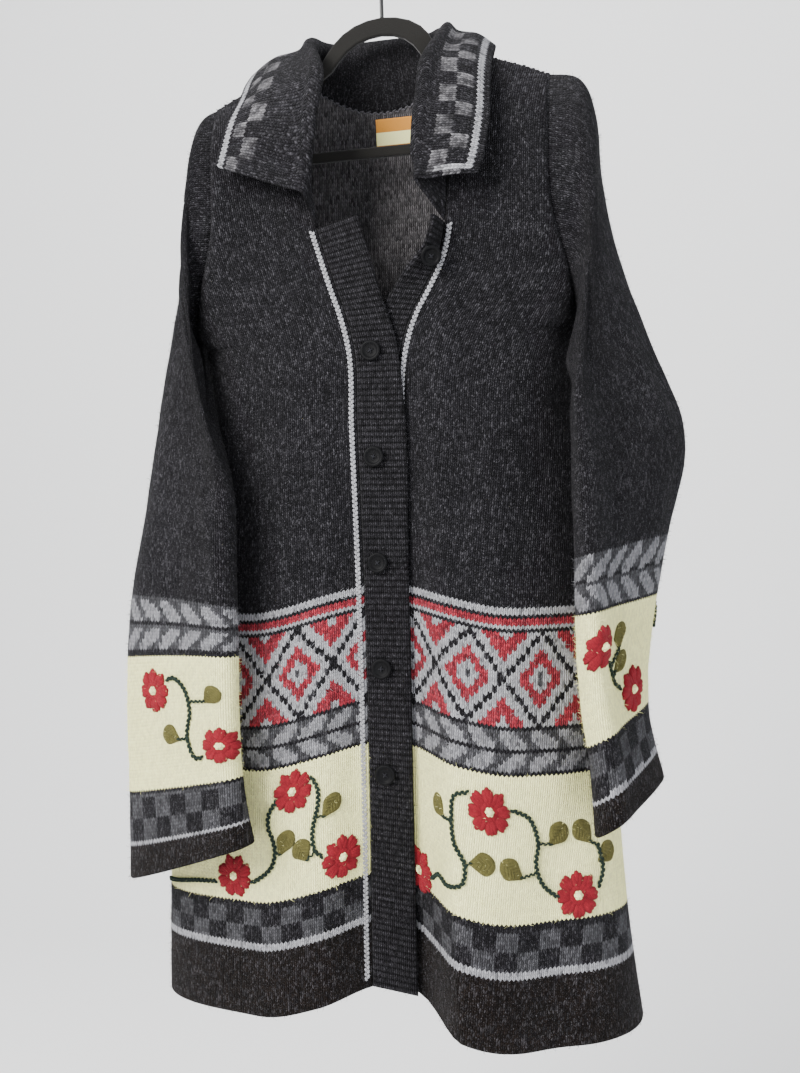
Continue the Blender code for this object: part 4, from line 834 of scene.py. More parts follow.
class Panel:
    """A cloth piece as a fine grid of middle points, with wall directions and knit measures.

    columns and rows are the grid's own values, along which a place on it is looked up.
    """

    def __init__(self, name, middle, offset, columns, rows, across, up, closed=False):
        self.name, self.closed = name, closed
        self.columns, self.rows = np.asarray(columns, float), np.asarray(rows, float)
        self.across, self.up = across, up
        self.offset = unit(offset)
        count = middle.shape[1]
        lift = crease_heights(name, across[:, :count], up[:, :count])
        lift = lift + UNEVEN_HEIGHT * uneven(middle, UNEVEN_SCALE, 1.0)
        low, high = CREAM_ZONES.get(name, (0, 0))
        inside = smoothstep((up[:, :count] - low) / 8) * smoothstep((high - up[:, :count]) / 8)
        lift = lift + BOBBLE_HEIGHT * inside * uneven(middle, BOBBLE_SCALE, 2.0)
        edge = np.ones(middle.shape[:2])
        edge[[0, -1]] = 0
        edge[1:-1] = smoothstep(np.arange(1, middle.shape[0] - 1) / 3)[:, None]
        edge = np.minimum(edge, edge[::-1])
        if not closed:
            side = smoothstep(np.minimum(np.arange(count), np.arange(count)[::-1]) / 3)
            edge = edge * side[None, :]
        self.middle = middle + self.offset * (lift * edge)[..., None]

    def at(self, column, row):
        """Middle points and directions at grid values, between the grid's own."""
        middle, offset = self.middle, self.offset
        if self.closed:
            middle = np.concatenate([middle, middle[:, :1]], axis=1)
            offset = np.concatenate([offset, offset[:, :1]], axis=1)
        c = np.interp(column, self.columns, np.arange(len(self.columns)))
        r = np.interp(row, self.rows, np.arange(len(self.rows)))
        c0 = np.clip(c.astype(int), 0, middle.shape[1] - 2)
        r0 = np.clip(r.astype(int), 0, len(self.rows) - 2)
        fc, fr = (c - c0)[:, None], (r - r0)[:, None]

        def mixed(grid):
            low = grid[r0, c0] * (1 - fc) + grid[r0, c0 + 1] * fc
            high = grid[r0 + 1, c0] * (1 - fc) + grid[r0 + 1, c0 + 1] * fc
            return low * (1 - fr) + high * fr

        return mixed(middle), unit(mixed(offset))


def soft_share(distance):
    """How thick the wall still is near a rounded free edge."""
    t = np.clip(distance / SOFT_EDGE, 0, 1)
    return np.maximum(np.sqrt(1 - (1 - t) ** 2), EDGE_LEFT)


def shell(panel, thick, materials):
    """The cloth as one closed shell, its thickness a share of the wall at each grid point."""
    rows, columns = panel.middle.shape[:2]
    half = panel.offset * (WALL / 2 * thick)[..., None]
    points = np.concatenate([(panel.middle + half).reshape(-1, 3), (panel.middle - half).reshape(-1, 3)])
    wide = columns + 1 if panel.closed else columns
    across, up = panel.across[:, :wide], panel.up[:, :wide]
    uv = np.stack([across, up], -1).reshape(-1, 2)
    r, c = np.meshgrid(np.arange(rows - 1), np.arange(wide - 1), indexing="ij")
    r, c = r.ravel(), c.ravel()
    ahead = (c + 1) % columns

    def point(row, column, skin=0):
        return skin * rows * columns + row * columns + column

    quads = [np.stack([point(r, c), point(r, ahead), point(r + 1, ahead), point(r + 1, c)], -1)]
    spots = [np.stack([r * wide + c, r * wide + c + 1, (r + 1) * wide + c + 1, (r + 1) * wide + c], -1)]
    quads.append(quads[0][:, ::-1] + rows * columns)
    spots.append(spots[0][:, ::-1])
    c = np.arange(wide - 1)
    ahead = (c + 1) % columns
    for row in (0, rows - 1):
        ends = np.full_like(c, row)
        quads.append(np.stack([point(ends, c), point(ends, ahead),
                               point(ends, ahead, 1), point(ends, c, 1)], -1))
        start = row * wide + c
        spots.append(np.stack([start, start + 1, start + 1, start], -1))
    if not panel.closed:
        r = np.arange(rows - 1)
        for column in (0, columns - 1):
            quads.append(np.stack([point(r, column), point(r + 1, column),
                                   point(r + 1, column, 1), point(r, column, 1)], -1))
            start = r * wide + column
            spots.append(np.stack([start, start + wide, start + wide, start], -1))
    slots = np.zeros(sum(map(len, quads)), int)
    slots[len(quads[0]): 2 * len(quads[0])] = 1
    return cloth_object(panel.name + "_cloth", points, np.concatenate(quads),
                        uv[np.concatenate(spots)], slots, materials)


def cloth_object(name, points, quads, uv, slots, materials):
    """A mesh from points in millimetres, quads, a UV pair for each corner and a slot for each face."""
    mesh = bpy.data.meshes.new(name)
    mesh.from_pydata((np.asarray(points) * MM).tolist(), [], np.asarray(quads).tolist())
    layer = mesh.uv_layers.new(name="cloth")
    layer.data.foreach_set("uv", np.asarray(uv, np.float32).ravel())
    mesh.polygons.foreach_set("material_index", np.asarray(slots, np.int32))
    for made in materials:
        mesh.materials.append(made)
    return finished(name, mesh)


def linked(name, data):
    """A new object in the scene."""
    obj = bpy.data.objects.new(name, data)
    bpy.context.scene.collection.objects.link(obj)
    return obj


def finished(name, mesh):
    """An object from a mesh already in place, its faces turned outwards, riding on the part."""
    made = bmesh.new()
    made.from_mesh(mesh)
    bmesh.ops.recalc_face_normals(made, faces=made.faces)
    made.to_mesh(mesh)
    made.free()
    mesh.shade_smooth()
    obj = linked(name, mesh)
    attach(obj, "root")
    return obj


def row_arcs(middle, zero):
    """The length along each row of a grid, from the column or place that zero gives."""
    steps = np.linalg.norm(np.diff(middle, axis=1), axis=2)
    arcs = np.concatenate([np.zeros((len(middle), 1)), np.cumsum(steps, axis=1)], axis=1)
    return arcs - np.array([np.interp(zero, np.arange(arcs.shape[1]), row) for row in arcs])[:, None]


@functools.lru_cache(maxsize=None)
def panel_of(name):
    """The fine grid of a front, a sleeve, the back or the collar."""
    if name.startswith("front"):
        middle, offset, height, _ = front_grid(side_of(name))
        rows = height[:, 0]
        return Panel(name, middle, offset, FRONT_SHARES, rows, row_arcs(middle, 0), height)
    if name == "back":
        middle, offset, height, share = back_grid()
        centre = (middle.shape[1] - 1) / 2
        return Panel(name, middle, offset, share, height[:, -1], row_arcs(middle, centre), height)
    if name.startswith("sleeve"):
        return sleeve_panel(side_of(name))
    return collar_panel()


def sleeve_panel(side):
    name = "sleeve_" + hand(side)
    steps = SLEEVE_COLUMNS
    angle = SLEEVE_SEAM + np.arange(steps) * 360.0 / steps
    along = np.array(SLEEVE_ROWS)
    angles, alongs = np.meshgrid(angle, along)

    def surface(a, b):
        return sleeve_surface(side, a, np.clip(b, 0, 1))

    middle = surface(angles, alongs)
    centre = middle.mean(axis=1, keepdims=True)
    offset = normals_of(surface, angles, alongs, 1.5, 4e-3)
    offset = offset * math.copysign(1, (offset * (middle - centre)).sum())
    _, height = armhole_ring(side, angle)
    front = armhole_mitre(side, height)
    behind = armhole_mitre(side, height, 1)
    offset[0] = np.where(np.sin(np.radians(angle))[:, None] > 0, front, behind)
    middle[0, :, 0] += side * SEAM_GAP / 2
    round_it = np.concatenate([middle, middle[:, :1]], axis=1)
    front_column = (360 + 90 - SLEEVE_SEAM) / 360 * steps
    across = row_arcs(round_it, front_column)
    down = np.linspace(1, 0, 201)
    rise = lengths_along(surface(np.full_like(down, 90.0), down))
    up = np.interp(-along, -down, rise)
    up = np.broadcast_to(up[:, None], across.shape)
    aside = round_it[..., 0] - round_it[..., 0].mean(axis=1, keepdims=True)
    rising = smoothstep((up - TILT_FROM) / TILT_RANGE)
    up = up + ROW_TILT[name] * rising * smoothstep((TILT_END - up) / TILT_RANGE) * aside
    columns = np.concatenate([angle, [SLEEVE_SEAM + 360]])
    return Panel(name, middle, offset, columns, along, across, up, closed=True)


@functools.lru_cache(maxsize=None)
def guide_of(name):
    """How a panel's motif measures become its grid values, worked out once."""
    return sleeve_guide(side_of(name)) if name.startswith("sleeve") else panel_guide(name)


def on_panel(name, across, up, out):
    """Points at a distance out of a panel's outer skin, by the motifs' own measures."""
    panel = panel_of(name)
    across, up = np.asarray(across, float), np.asarray(up, float)
    column, row = guide_of(name)(across, up)
    middle, facing = panel.at(column, row)
    return middle + facing * (WALL / 2 + np.asarray(out, float))[:, None], facing


def panel_guide(name):
    """How a body panel's motif measures become its grid values."""
    level = np.array(MOTIF_LEVEL)
    if name == "back":
        fine = np.linspace(-1, 1, 401)
        arc = lengths_along(back_surface(fine, np.full_like(fine, level)))
        arc = arc - arc[200]
    else:
        fine = np.linspace(0, 1, 201)
        arc = lengths_along(front_surface(side_of(name), fine, np.full_like(fine, level)))
    return lambda across, up: (np.interp(across, arc, fine), up)


def sleeve_guide(side):
    """How a sleeve's motif measures become its angle and its place along."""
    fine = SLEEVE_SEAM + np.linspace(0, 360, 361)
    arc = lengths_along(sleeve_surface(side, fine, np.full_like(fine, SLEEVE_MOTIF_LEVEL)))
    up = np.linspace(1, 0.5, 101)
    rise = lengths_along(sleeve_surface(side, np.full_like(up, 90.0), up))
    return lambda across, height: (np.interp(across, arc, fine), np.interp(height, rise, up))


def collar_panel():
    """The collar: its seam, its roll and its falling wings."""
    at = np.array(COLLAR_PLACES)
    knots = column_of(COLLAR, "at")
    roll = spline(knots, column_of(COLLAR, "roll"), at)
    edge = spline(knots, column_of(COLLAR, "edge"), at)
    radius = spline(knots, column_of(COLLAR, "radius"), at)[:, None]
    seam = collar_seam(at)
    mitre = neck_mitre(at)
    down = np.array([0.0, 0.0, -1.0])
    away = edge - roll
    away[:, 2] = 0
    away = unit(away)
    inner = roll - away * radius + down * radius
    outer = roll + away * radius + down * radius * 0.9
    ends = smoothstep(np.minimum(at, 3 - at) / 0.3)[:, None]
    inner = inner + (seam + (roll - seam) * 0.55 - inner) * (1 - ends)
    outer = outer + (roll + (edge - roll) * 0.2 - outer) * (1 - ends)
    drop = roll + (edge - roll) * 0.6 + unit(mitre) * 3.0
    guide = np.stack([seam, inner, roll, outer, drop, edge], 0)
    place = np.array([0, 0.36, 0.48, 0.6, 0.82, 1.0])
    share = np.array(COLLAR_SHARES)
    middle = spline(place, guide, share)
    offset = unit(np.cross(np.gradient(middle, axis=1), np.gradient(middle, axis=0)))
    sign = np.where((offset[0] * mitre).sum(-1) < 0, -1, 1)
    offset = offset * sign[None, :, None]
    offset[0] = mitre
    from_edge = -row_arcs(np.swapaxes(middle, 0, 1), len(share) - 1).T
    along = row_arcs(middle[-1:], 0)
    along = np.broadcast_to(along, from_edge.shape)
    return Panel("collar", middle, offset, at, share, along, from_edge)


class Value:
    """A number in a shader tree, which plain arithmetic combines with others."""

    def __init__(self, tree, socket):
        self.tree, self.socket = tree, socket

    def made(self, operation, *others):
        others = [other.socket if isinstance(other, Value) else other for other in others]
        return Value(self.tree, number(self.tree, operation, self.socket, *others))

    def __add__(self, other):
        return self.made("ADD", other)

    def __sub__(self, other):
        return self.made("SUBTRACT", other)

    def __mul__(self, other):
        return self.made("MULTIPLY", other)

    def __gt__(self, other):
        return self.made("GREATER_THAN", other)

    def __lt__(self, other):
        return self.made("LESS_THAN", other)

    def wrapped(self, period):
        return self.made("FLOORED_MODULO", period)

    def floor(self):
        return self.made("FLOOR")

    def size(self):
        return self.made("ABSOLUTE")

    def within(self, low, high):
        return (self > low) * (self < high)


def mixed(tree, share, first, second, blend="MIX"):
    """A colour between two, each given as a colour or as a socket."""
    node = put(tree, "ShaderNodeMix", data_type="RGBA", blend_type=blend)
    for key, value in ((0, share), (6, first), (7, second)):
        value = value.socket if isinstance(value, Value) else value
        if isinstance(value, bpy.types.NodeSocket):
            tree.links.new(value, node.inputs[key])
        else:
            node.inputs[key].default_value = (*value, 1) if isinstance(value, tuple) else value
    return node.outputs[2]


def measures(tree):
    """A mesh's two knit measures, across and up, out of its UV map."""
    spot = put(tree, "ShaderNodeUVMap", uv_map="cloth")
    split = put(tree, "ShaderNodeSeparateXYZ", {0: spot.outputs[0]})
    return Value(tree, split.outputs[0]), Value(tree, split.outputs[1])


def toned(tree, shader, colour, tone):
    """Gives a surface its colour, made lighter or darker by a tone."""
    grey = put(tree, "ShaderNodeCombineColor", dict.fromkeys(range(3), tone.socket))
    shown = mixed(tree, 1.0, colour, grey.outputs[0], "MULTIPLY")
    tree.links.new(shown, shader.inputs["Base Color"])


def steps_of(tree, value, stops, whole):
    """A colour for each stretch of a value: stops are where each begins, and its colour."""
    ramp = put(tree, "ShaderNodeValToRGB", {0: (value * (1 / whole)).socket})
    ramp.color_ramp.interpolation = "CONSTANT"
    elements = ramp.color_ramp.elements
    elements.remove(elements[1])
    for index, (start, colour) in enumerate(stops):
        element = elements[0] if index == 0 else elements.new(start / whole)
        element.color = (*colour, 1)
    return ramp.outputs[0]


def new_material(name, rough, sheen=0.0, metal=0.0):
    made = bpy.data.materials.new(name)
    made.use_nodes = True
    tree = made.node_tree
    shader = tree.nodes["Principled BSDF"]
    shader.inputs["Roughness"].default_value = rough
    shader.inputs["Metallic"].default_value = metal
    shader.inputs["Specular IOR Level"].default_value = SOFT_SPECULAR if sheen else HARD_SPECULAR
    shader.inputs["Sheen Weight"].default_value = sheen
    shader.inputs["Sheen Roughness"].default_value = SHEEN_ROUGHNESS
    shader.inputs["Sheen Tint"].default_value = SHEEN_TINT
    return made, tree, shader


def raised(tree, shader, height, distance, strength=1.0):
    socket = height.socket if isinstance(height, Value) else height
    bump = put(tree, "ShaderNodeBump", {"Height": socket, "Distance": distance, "Strength": strength})
    tree.links.new(bump.outputs[0], shader.inputs["Normal"])


def noise_of(tree, scale, detail=2.0, vector=None):
    if vector is None:
        vector = tree.nodes.new("ShaderNodeTexCoord").outputs["Object"]
    node = put(tree, "ShaderNodeTexNoise", {"Vector": vector, "Scale": scale, "Detail": detail})
    return Value(tree, node.outputs[0])


Levels = namedtuple("Levels", "stops checker leaf diamond")


def body_levels(c):
    stops = (
        (0, c.hem), (59, c.light), (65.5, c.middle), (96.5, c.charcoal), (101, c.cream), (218, c.charcoal),
        (222, c.middle), (238, c.charcoal), (241, c.middle), (257, c.charcoal), (261.5, c.light),
        (340, c.charcoal), (345, c.light), (347.5, c.red), (353, c.charcoal), (355.5, c.light),
        (362.5, c.charcoal),
    )
    return Levels(stops, (65.5, 96.5), (222, 257), (261.5, 340))


def sleeve_levels(c, right):
    if right:
        stops = (
            (0, c.hem), (22, c.light), (28, c.middle), (66, c.charcoal), (70, c.cream), (193, c.charcoal),
            (197, c.middle), (218, c.charcoal), (221, c.middle), (243, c.charcoal),
        )
        return Levels(stops, (28, 66), (197, 243), None)
    stops = (
        (0, c.hem), (24, c.light), (29, c.middle), (64, c.charcoal), (69, c.cream), (172, c.charcoal),
        (176, c.middle), (199, c.charcoal), (202, c.middle), (225, c.charcoal),
    )
    return Levels(stops, (29, 64), (176, 225), None)


def patterned(tree, across, up, levels, sizes, c):
    """The knitted-in pattern: stripes, with checks, leaves and diamonds laid over them."""
    colour = steps_of(tree, up, levels.stops, 400.0)
    low, high = levels.checker
    column = (across * (1 / sizes.check_side / 1000)).floor()
    row = ((up - low) * (2 / (high - low))).floor()
    odd = (column + row).wrapped(2.0)
    colour = mixed(tree, odd * up.within(low, high), colour, tuple(c.charcoal))
    low, high = levels.leaf
    half = (high - low) / 2
    away = (up - (low + high) / 2).size()
    lean = (across + away * 0.95).wrapped(LEAF_REPEAT)
    taper = (away - half / 2).size() * (2 / half)
    wide = (taper * taper).made("MULTIPLY_ADD", -LEAF_REPEAT * 0.24, LEAF_REPEAT * 0.37)
    leaf = (lean - LEAF_REPEAT / 2).size() < wide
    leaf = leaf * up.within(low, high) * (away > 1.8)
    colour = mixed(tree, leaf, colour, tuple(c.leaf))
    if levels.diamond:
        low, high = levels.diamond
        repeat = sizes.diamond_repeat * 1000
        beside = (across.wrapped(repeat) - repeat / 2).size() * (2 / repeat)
        above = (up - (low + high) / 2).size() * (2 / (high - low))
        reach = beside + above
        depth = (reach - 1.0).size().made("MULTIPLY_ADD", -1.0, 1.0)
        whole = steps_of(tree, depth, (
            (0, c.middle), (0.12, c.light), (0.35, c.red), (0.64, c.light), (0.92, c.charcoal),
        ), 1.0)
        part = steps_of(tree, depth, (
            (0, c.light), (0.18, c.red), (0.62, c.light), (0.92, c.charcoal),
        ), 1.0)
        diamond = mixed(tree, reach < 1.0, part, whole)
        colour = mixed(tree, up.within(low, high), colour, diamond)
    return colour


def collar_pattern(tree, across, up, c):
    """A light line along the collar's outer edge and two staggered columns of checks."""
    side = (across > COLLAR_MIDDLE) * COLLAR_MARGIN
    line = up - side
    lined = line.within(*COLLAR_LINE)
    end = (across - COLLAR_LENGTH).made("MULTIPLY", -1.0)
    turned = end.within(COLLAR_LINE[0] + 1, COLLAR_LINE[1] + 1) * line.within(COLLAR_LINE[0], COLLAR_TURN)
    lined = lined.made("MAXIMUM", turned) * (end > COLLAR_LINE[0] + 1)
    colour = mixed(tree, lined, tuple(c.charcoal), tuple(c.light))
    inward = line.within(COLLAR_CHECKS[0], COLLAR_CHECKS[2])
    second = line > COLLAR_CHECKS[1]
    turn = (across + second * (COLLAR_PERIOD / 2)).wrapped(COLLAR_PERIOD) < COLLAR_PERIOD * 0.5
    cloudy = (noise_of(tree, 90.0, 2.0) - 0.32) * 3.0
    cloudy = cloudy.made("MAXIMUM", 0.15).made("MINIMUM", 1.0)
    return mixed(tree, turn * inward * cloudy, colour, tuple(c.check))


@functools.lru_cache(maxsize=None)
def stitch_values(tree, width, height):
    """From a mesh's knit measures: each stitch's column, row and middle, and its own relief."""
    across, up = measures(tree)
    place = across * (1 / width)
    column = place.floor()
    aside = (place - column - 0.5).size()
    climb = up * (1 / height) - aside * STITCH_CLIMB
    row = climb.floor()
    leg = (aside - 0.25).size() * 4.0
    round_leg = (leg * leg).made("MULTIPLY_ADD", -1.0, 1.0)
    tip = ((climb - row - 0.5).size() * 2.0)
    round_row = (tip * tip * tip).made("MULTIPLY_ADD", -0.7, 1.0)
    relief = round_leg * round_row
    middle = (column + 0.5) * width
    level = (row + 0.5) * height
    half = (place * 2.0).floor()
    key = put(tree, "ShaderNodeCombineXYZ", {0: half.socket, 1: row.socket})
    return middle, level, relief, key.outputs[0]


def knit_material(name, sizes, colours):
    """Wool knit with its own pattern: each stitch takes one colour and shows as a raised V."""
    found = bpy.data.materials.get("knit " + name)
    if found:
        return found
    c = colours_of(colours)
    made, tree, shader = new_material("knit " + name, 0.9, 0.02)
    width, height = sizes.stitch_width * 1000, sizes.stitch_height * 1000
    if name == "inside":
        height *= INSIDE_STRETCH
    middle, level, relief, key = stitch_values(tree, width, height)
    if name.startswith("sleeve"):
        colour = patterned(tree, middle, level, sleeve_levels(c, name == "sleeve_right"), sizes, c)
    elif name.startswith("front") or name == "back":
        colour = patterned(tree, middle + PATTERN_START[name], level, body_levels(c), sizes, c)
    elif name == "collar":
        colour = collar_pattern(tree, middle, level, c)
    else:
        colour = mixed(tree, 0.0, getattr(c, name), (0.0, 0.0, 0.0))
    lightness = put(tree, "ShaderNodeRGBToBW", {0: colour})
    pale = (Value(tree, lightness.outputs[0]) * 2.2).made("MINIMUM", 1.0)
    plain = pale.made("MULTIPLY_ADD", -1.0, 1.0)
    grain = put(tree, "ShaderNodeTexWhiteNoise", {"Vector": key}, noise_dimensions="3D")
    value = Value(tree, grain.outputs["Value"])
    shift = put(tree, "ShaderNodeVectorMath", {0: key, 1: (31.7, 11.3, 4.1)}, operation="ADD")
    other = put(tree, "ShaderNodeTexWhiteNoise", {"Vector": shift.outputs[0]}, noise_dimensions="3D")
    second = Value(tree, other.outputs["Value"])
    spread = plain.made("MULTIPLY_ADD", sizes.heather * 0.8, sizes.heather * 0.2)
    brighter = (value - 0.5) * spread + 1.0
    floor = pale.made("MULTIPLY_ADD", STITCH_SHADOW[1] - STITCH_SHADOW[0], STITCH_SHADOW[0])
    shade = (relief * (floor.made("MULTIPLY_ADD", -1.0, 1.0)) + floor) * brighter
    fleck = (second > FLECK_FROM) * plain * (FLECK_SHARE * (0.4 if name == "band" else 1.0))
    colour = mixed(tree, fleck, colour, tuple(c.fleck))
    dark = (second < FLECK_DARK) * (pale < 0.98) * 0.5
    colour = mixed(tree, dark, colour, tuple(c.charcoal))
    fibre = noise_of(tree, FIBRE_GRAIN, 3.0)
    hair = (noise_of(tree, HAIR_GRAIN, 2.0) - FIBRE_FROM) * 6.0
    hair = hair.made("MAXIMUM", 0.0).made("MINIMUM", 1.0) * plain * FIBRE_SHARE
    colour = mixed(tree, hair, colour, tuple(c.fleck))
    patch = noise_of(tree, PATCH_GRAIN, 2.0)
    uneven_tone = plain.made("MULTIPLY_ADD", 0.5, 0.15)
    shade = shade * ((patch - 0.5) * uneven_tone + 1.0)
    shade = shade * ((fibre - 0.5) * (uneven_tone + uneven_tone) + 1.0)
    if name == "band":
        shade = shade * rib_shade(tree, sizes)
    toned(tree, shader, colour, shade)
    nubs = noise_of(tree, NUB_GRAIN, 2.0)
    shade_nubs = (nubs - 0.5) * 0.3 + 1.0
    nubs = nubs * (pale * NUB_DEPTH)
    raised(tree, shader, relief + fibre * 0.4 + nubs, sizes.stitch_relief)
    tree.links.new(shade_nubs.made("MULTIPLY", 0.85).socket, shader.inputs["Roughness"])
    return made


def rib_shade(tree, sizes):
    """Dark grooves between the ribs of a band."""
    phase = measures(tree)[1] * (math.pi / (sizes.rib_pitch * 1000))
    return phase.made("SINE").size().made("MULTIPLY_ADD", 1.0 - RIB_SHADOW, RIB_SHADOW)


def colours_of(colours):
    names = list(type(colours).__annotations__)
    return namedtuple("Colours", names)(*(tuple(getattr(colours, name)) for name in names))


def yarn_material(name, colour):
    """Plain yarn for raised work: soft, with its twisted strands showing."""
    found = bpy.data.materials.get(name)
    if found:
        return found
    made, tree, shader = new_material(name, 0.85, 0.05)
    fibre = noise_of(tree, 900.0, 3.0)
    patch = noise_of(tree, 140.0, 2.0)
    wave = put(tree, "ShaderNodeTexWave", {
        "Vector": tree.nodes.new("ShaderNodeTexCoord").outputs["Object"], "Scale": 260.0,
        "Distortion": 6.0, "Detail": 2.0, "Detail Scale": 2.0,
    }, bands_direction="DIAGONAL")
    strand = Value(tree, wave.outputs[1])
    # Painted shade: the colour darkens where the strand's wave sinks, between the twisted plies; the patch
    # noise is a random tone of the yarn.
    tone = patch.made("MULTIPLY_ADD", 0.7, 0.55) * strand.made("MULTIPLY_ADD", 0.35, 0.72)
    toned(tree, shader, tuple(colour), tone)
    raised(tree, shader, strand * 0.6 + fibre * 0.6, 0.0005)
    return made


def hard_material(name, colour, rough, metal=0.0, grain=300.0, depth=0.0001, sheen=0.0):
    """A button, a coated wire or a flocked plate: fine grain in its colour and its relief."""
    found = bpy.data.materials.get(name)
    if found:
        return found
    made, tree, shader = new_material(name, rough, sheen, metal)
    fine = noise_of(tree, grain, 3.0)
    broad = noise_of(tree, 30.0, 2.0)
    tone = fine.made("MULTIPLY_ADD", 0.5, 0.75) * broad.made("MULTIPLY_ADD", 0.4, 0.8)
    toned(tree, shader, tuple(colour), tone)
    tree.links.new(broad.made("MULTIPLY_ADD", 0.25, rough - 0.12).socket, shader.inputs["Roughness"])
    raised(tree, shader, fine, depth)
    return made


def woven_material(name, colour, stripe):
    """A woven ribbon: fine threads both ways, and a plain band along its middle."""
    made, tree, shader = new_material(name, 0.55, 0.05)
    across, up = measures(tree)
    warp = (across * 9.0).made("SINE").size()
    weft = (up * 7.0).made("SINE").size()
    weave = warp * 0.5 + weft * 0.5
    banded = up.within(stripe[1], stripe[2])
    fabric = mixed(tree, banded, tuple(colour), tuple(stripe[0]))
    # Painted shade: the colour darkens between the raised threads, where the weave sinks in the bump.
    tone = weave.made("MULTIPLY_ADD", 0.4, 0.7)
    toned(tree, shader, fabric, tone)
    raised(tree, shader, weave, 0.0002)
    return made


@functools.lru_cache(maxsize=None)
def nap_tree():
    """Fine wool hairs that stand off a skin, each bent and turned its own way."""
    tree, given, out = new_tree("Wool nap", (
        ("Density", "Float", 1e5), ("Length", "Float", 0.004), ("Width", "Float", 0.0002),
        ("Seed", "Int", 1),
    ))
    size = given.outputs
    slot = put(tree, "GeometryNodeInputMaterialIndex")
    outer = put(tree, "FunctionNodeCompare", {2: slot.outputs[0], 3: 0},
                data_type="INT", operation="EQUAL")
    spots = put(tree, "GeometryNodeDistributePointsOnFaces", {
        "Mesh": size["Base"], "Selection": outer.outputs[0],
        "Density": size["Density"], "Seed": size["Seed"],
    })
    strip = put(tree, "GeometryNodeMeshGrid", {
        "Size X": size["Width"], "Size Y": size["Length"], "Vertices X": 2, "Vertices Y": 3,
    })
    place = put(tree, "ShaderNodeSeparateXYZ", {0: put(tree, "GeometryNodeInputPosition").outputs[0]})
    along = number(tree, "DIVIDE", place.outputs[1], size["Length"])
    bend = number(tree, "MULTIPLY", number(tree, "MULTIPLY", along, along), size["Length"])
    narrow = number(tree, "MULTIPLY_ADD", along, -0.8, 0.6)
    blade = put(tree, "ShaderNodeCombineXYZ", {
        "X": number(tree, "MULTIPLY", place.outputs[0], narrow),
        "Y": number(tree, "MULTIPLY_ADD", size["Length"], 0.45, place.outputs[1]),
        "Z": number(tree, "MULTIPLY", bend, -0.6),
    })
    bent = put(tree, "GeometryNodeSetPosition", {"Geometry": strip.outputs[0], "Position": blade.outputs[0]})
    turn = put(tree, "FunctionNodeRandomValue", {
        "Min": (0.2, -0.5, 0.0), "Max": (1.0, 0.5, math.tau), "Seed": 3,
    }, data_type="FLOAT_VECTOR")
    turns = put(tree, "ShaderNodeSeparateXYZ", {0: turn.outputs[0]})
    spin = put(tree, "FunctionNodeEulerToRotation", {0: put(
        tree, "ShaderNodeCombineXYZ", {"Z": turns.outputs[2]}).outputs[0]})
    lift = put(tree, "FunctionNodeEulerToRotation", {0: put(
        tree, "ShaderNodeCombineXYZ", {"X": turns.outputs[0], "Y": turns.outputs[1]}).outputs[0]})
    spun = put(tree, "FunctionNodeRotateRotation",
               {"Rotation": spots.outputs["Rotation"], "Rotate By": spin.outputs[0]}, rotation_space="LOCAL")
    raised_up = put(tree, "FunctionNodeRotateRotation",
                    {"Rotation": spun.outputs[0], "Rotate By": lift.outputs[0]}, rotation_space="LOCAL")
    grow = put(tree, "FunctionNodeRandomValue", {"Min": 0.5, "Max": 1.3, "Seed": 5}, data_type="FLOAT")
    hairs = put(tree, "GeometryNodeInstanceOnPoints", {
        "Points": spots.outputs["Points"], "Instance": bent.outputs[0],
        "Rotation": raised_up.outputs[0], "Scale": grow.outputs[1],
    })
    end_tree(tree, hairs.outputs[0], size["Yarn"], out)
    return tree


def add_nap(obj, count, seed, sizes):
    """Hairs on a cloth piece's outer skin, in the colours of the knit under them."""
    mesh = obj.data
    slots = np.empty(len(mesh.polygons), np.int32)
    mesh.polygons.foreach_get("material_index", slots)
    areas = np.empty(len(mesh.polygons))
    mesh.polygons.foreach_get("area", areas)
    values = {
        "Density": count / areas[slots == 0].sum(), "Length": sizes.nap_length,
        "Width": sizes.nap_width, "Seed": seed, "Yarn": mesh.materials[0],
    }
    made = worked(nap_tree(), mesh.copy(), values)
    made.name = obj.name.replace("_cloth", "_nap")
    nap = linked(made.name, made)
    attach(nap, "root")
    return nap


def build_panel(name, sizes, colours):
    """A front, a sleeve or the back, rounded at its free lower end."""
    panel = panel_of(name)
    up = panel.up[:, :panel.middle.shape[1]]
    thick = soft_share(up - up.min())
    outside = knit_material(name, sizes, colours)
    inside = knit_material("inside" if name == "back" else "charcoal", sizes, colours)
    obj = shell(panel, thick, (outside, inside))
    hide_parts(name)
    return obj


def build_collar(sizes, colours):
    panel = panel_of("collar")
    thick = soft_share(panel.up)
    ends = np.minimum(panel.across, panel.across.max() - panel.across)
    thick = np.minimum(thick, soft_share(ends * (panel.up < panel.up.max() * 0.86)
                                         + SOFT_EDGE * (panel.up >= panel.up.max() * 0.86)))
    outside = knit_material("collar", sizes, colours)
    obj = shell(panel, thick, (knit_material("charcoal", sizes, colours), outside))
    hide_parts("collar")
    return obj


